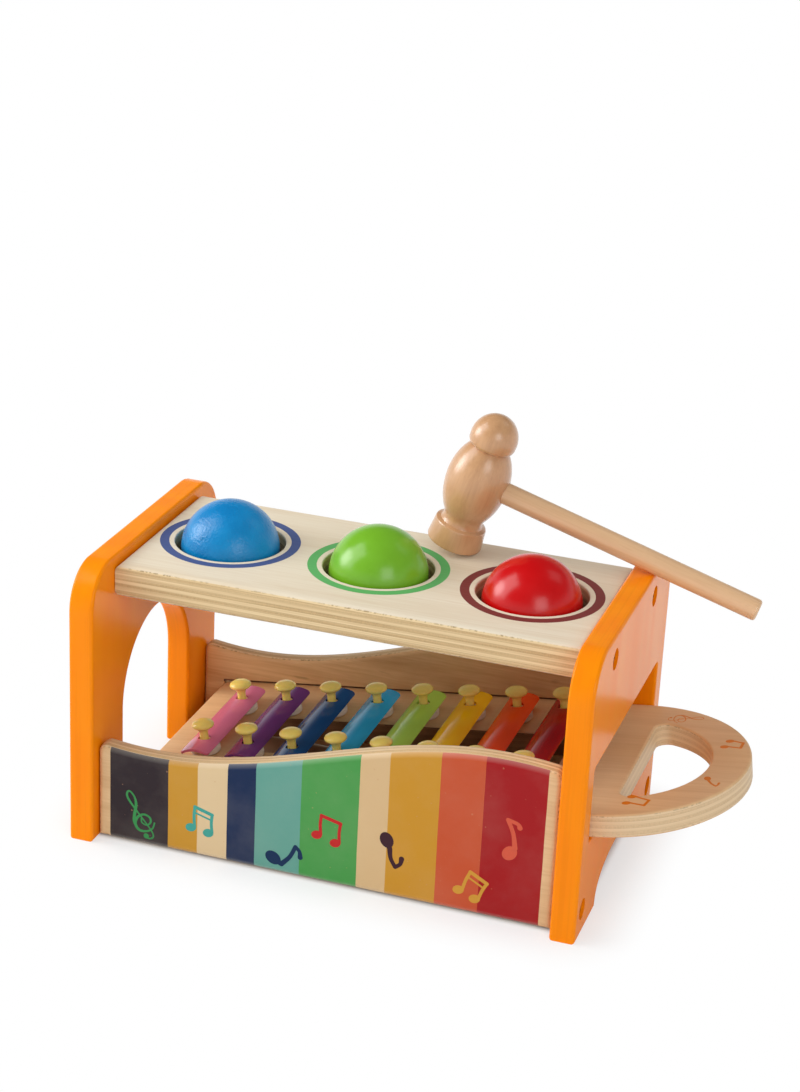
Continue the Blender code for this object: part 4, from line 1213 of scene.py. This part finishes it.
def painted_sign(name, shapes, colour, matrix, body):
    """A film of paint over the union of some convex shapes, drawn in millimetres in the plane z 0."""
    points, faces = [], []
    for outline in shapes:
        faces.append(list(range(len(points), len(points) + len(outline))))
        points += [Vector((x, y)) for x, y in outline]
    corners, _, triangles, _, _, _ = delaunay_2d_cdt(points, [], faces, 1, SIGN_WELD)
    shape = bmesh.new()
    vertices = [shape.verts.new((x * MILLIMETRE, y * MILLIMETRE, PAINT_FILM)) for x, y in corners]
    for triangle in triangles:
        middle = sum((corners[i] for i in triangle), Vector((0.0, 0.0))) / len(triangle)
        if any(covers(outline, middle) for outline in shapes):
            shape.faces.new([vertices[i] for i in triangle])
    loose = [vertex for vertex in vertices if not vertex.link_faces]
    bmesh.ops.delete(shape, geom=loose, context="VERTS")
    bmesh.ops.recalc_face_normals(shape, faces=shape.faces)
    if sum(face.normal.z for face in shape.faces) < 0:
        bmesh.ops.reverse_faces(shape, faces=shape.faces)
    sides = bmesh.ops.extrude_face_region(shape, geom=shape.faces[:])["geom"]
    raised = [part for part in sides if isinstance(part, bmesh.types.BMVert)]
    bmesh.ops.translate(shape, verts=raised, vec=(0.0, 0.0, -2 * PAINT_FILM))
    bmesh.ops.recalc_face_normals(shape, faces=shape.faces)
    bmesh.ops.triangulate(shape, faces=shape.faces)
    paint = plain(name + "_paint", colour, 0.4, grain=500, depth=0.05, specular=0.22)
    show(name, settled(shape, name), paint, matrix, body)


def signs():
    face = BENCH @ shift(0.0, -FRONT_FACE, 0.0) @ FACING_FRONT
    drawn = (
        ("clef", clef((-81.0, 4.6), (-92.8, 27.4)), srgb(56, 146, 78)),
        ("beamed_teal", beamed(((-61.2, 15.3), (-52.8, 14.2)), ((-59.3, 26.0), (-51.0, 23.6)), 2.6, 2),
         srgb(66, 164, 152)),
        ("quaver_navy", quaver((-21.6, 8.8), (-17.6, 6.4), (-11.2, 16.4), (-8.8, 11.6), 3.9),
         srgb(12, 44, 84)),
        ("beamed_red", beamed(((-1.5, 24.7), (7.2, 22.4)), ((0.4, 34.6), (9.4, 32.4)), 2.6, 1),
         srgb(198, 34, 36)),
        ("quaver_plum", quaver((30.8, 29.2), (32.4, 25.2), (35.2, 16.8), (38.0, 21.4), 3.9),
         srgb(60, 26, 40)),
        ("beamed_ochre", beamed(((64.3, 12.2), (71.8, 9.3)), ((69.3, 22.0), (77.0, 17.9)), 2.6, 2),
         srgb(212, 156, 56)),
        ("quaver_coral", quaver((86.0, 35.0), (88.2, 37.8), (84.4, 50.8), (89.8, 48.0), 3.8),
         srgb(216, 92, 66)),
    )
    for name, shapes, colour in drawn:
        painted_sign("sign_" + name, shapes, colour, face, "bench")
    burnt = (
        ("clef", clef((129.6, 43.4), (146.2, 46.6), 0.38, 1.3)),
        ("far", beamed(((161.2, 17.0), (162.5, 23.2)), ((168.5, 16.8), (168.7, 22.2)), 2.0, 1)),
        ("single", quaver((160.4, -15.7), (161.2, -17.6), (165.4, -22.6), (166.2, -19.4), 1.9)),
        ("near", beamed(((131.3, -44.5), (132.2, -38.2)), ((139.3, -45.6), (140.3, -40.4)), 2.0, 1)),
    )
    for name, shapes in burnt:
        painted_sign("handle_sign_" + name, shapes, HANDLE_INK, TRAY, "xylophone")


def build():
    end_panel("left_end_panel", -1, [panel_outline(left_arch())])
    slot = rounded_box((-TRAY_SLOT_HALF, TRAY_SLOT_BOTTOM), (TRAY_SLOT_HALF, TRAY_SLOT_TOP),
                       TRAY_SLOT_CORNER)
    end_panel("right_end_panel", 1, [panel_outline(right_arch()), slot])
    screws()
    top_board()
    grip_sheet()
    balls()
    waved_panel("front_panel", -1, FRONT_THICK, FRONT_WAVE, FRONT_PLY)
    waved_panel("rear_panel", 1, REAR_THICK, REAR_WAVE, REAR_PLY)
    signs()
    tray_board()
    bars()
    pins_and_spacers()
    mallet()


build()


# ---- The studio ----
FLOOR_RADIUS = 40.0
FLOOR_SHADE = 0.040
# Painted shadow: the colour of the floor's paint under the bench
FLOOR_PAINTED_SHADOW = (0.46, 0.31, 0.20, 1.0)
WORLD_LEVEL = 0.69
LAMP_AIM = Vector((0.0, 0.0, 0.1))
CAMERA_PLACE = (0.3090, -0.9499, 0.5472)
# Name, azimuth, elevation, distance, width, height and watts of each lamp
LAMPS = (
    ("key_left", -72, 38, 1.3, 0.8, 1.1, 8.5),
    ("left_low", -84, 22, 0.8, 0.35, 0.35, 2.0),
    ("fill_right", 38, 24, 1.3, 0.6, 0.6, 3.4),
    ("rear_right", 130, 48, 1.3, 0.5, 0.5, 0.5),
)


def studio_floor():
    """A white floor that keeps the bench's shadow close by and is plain white further out. Under the
    bench and just round it, its paint is brown: a painted shadow.
    """
    mesh = bpy.data.meshes.new("floor")
    rim = circle((0.0, 0.0), FLOOR_RADIUS)
    mesh.from_pydata([(x, y, 0.0) for x, y in rim], [], [tuple(range(len(rim)))])
    floor = link("studio_floor", mesh)
    floor.location.x = ORIGIN_X
    material = bpy.data.materials.new("white_floor")
    look = Nodes(material)
    paint = look.tree.nodes["Principled BSDF"]
    paint.inputs["Roughness"].default_value = 0.9
    paint.inputs["Specular IOR Level"].default_value = 0.0
    glow = look.node("ShaderNodeEmission", Strength=1.0)
    # How far a point is from the space inside the bench
    place = look.vector("ABSOLUTE", look.node("ShaderNodeTexCoord").outputs["Object"])
    outside = look.vector("SUBTRACT", place, (INNER_X, INNER_FRONT, 0.0))
    away = look.vector("LENGTH", look.vector("MAXIMUM", outside))
    near = look.span(away, 0.0, FLOOR_SHADE)
    # Painted shadow: the floor's paint is brown under the bench, fading to white a few millimetres
    # outside it
    look.put(paint.inputs["Base Color"], look.ramp(near, [(0.04, FLOOR_PAINTED_SHADOW), (0.18, 0.9)], "EASE"))
    plain_white = look.ramp(near, [(0.10, 0.0), (0.24, 0.6), (1.0, 1.0)], "EASE")
    in_gloss = look.span(away, FLOOR_SHADE, 7 * FLOOR_SHADE)
    glossy = look.node("ShaderNodeLightPath").outputs["Is Glossy Ray"]
    seen = look.wired(look.node("ShaderNodeMix"), (0, 2, 3), (glossy, plain_white, in_gloss))
    share = look.times(seen.outputs[0], look.backdrop_rays())
    look.put(look.tree.nodes["Material Output"].inputs["Surface"], look.mix_shader(share, paint, glow))
    mesh.materials.append(material)


def softbox(name, azimuth, elevation, distance, width, height, watts):
    """A lamp that faces the object, azimuth 0 being in front of it and 90 to its right."""
    light = bpy.data.lights.new(name, "AREA")
    light.shape = "RECTANGLE"
    light.size = width
    light.size_y = height
    light.energy = watts
    lamp = link(name, light)
    turn, rise = math.radians(azimuth), math.radians(elevation)
    away = Vector((math.sin(turn) * math.cos(rise), -math.cos(turn) * math.cos(rise), math.sin(rise)))
    lamp.location = LAMP_AIM + distance * away
    lamp.rotation_euler = away.to_track_quat("Z", "Y").to_euler()


def world_light(level):
    """Even light all round; the camera and gloss see a white backdrop that darkens higher up."""
    world = bpy.data.worlds.new("studio")
    bpy.context.scene.world = world
    look = Nodes(world)
    look.tree.nodes.clear()
    even = look.node("ShaderNodeBackground", Strength=level)
    place = look.node("ShaderNodeTexCoord").outputs["Generated"]
    height = look.node("ShaderNodeSeparateXYZ", Vector=place).outputs["Z"]
    fall = look.span(height, 0.2, 0.45, start=1.0, end=0.06, kind="SMOOTHSTEP")
    backdrop = look.node("ShaderNodeBackground", Strength=fall)
    look.node("ShaderNodeOutputWorld", Surface=look.mix_shader(look.backdrop_rays(), even, backdrop))


def camera():
    """The photograph's own camera, worked out from the bench's edges."""
    right = Vector((0.9468967, 0.3182725, 0.0457080))
    down = Vector((0.1610544, -0.3464362, -0.9241447))
    forward = Vector((-0.2782950, 0.8824311, -0.3792985))
    data = bpy.data.cameras.new("photograph_view")
    data.sensor_fit = "VERTICAL"
    data.sensor_height = 36.0
    data.lens = 80.0
    data.clip_end = 100.0
    view = link("photograph_view", data)
    turn = Matrix((right, -down, -forward)).transposed().to_4x4()
    view.matrix_world = BENCH @ shift(*CAMERA_PLACE) @ turn
    bpy.context.scene.camera = view


studio_floor()
world_light(WORLD_LEVEL)
for lamp_sizes in LAMPS:
    softbox(*lamp_sizes)
camera()
bpy.context.scene.view_settings.view_transform = "Standard"
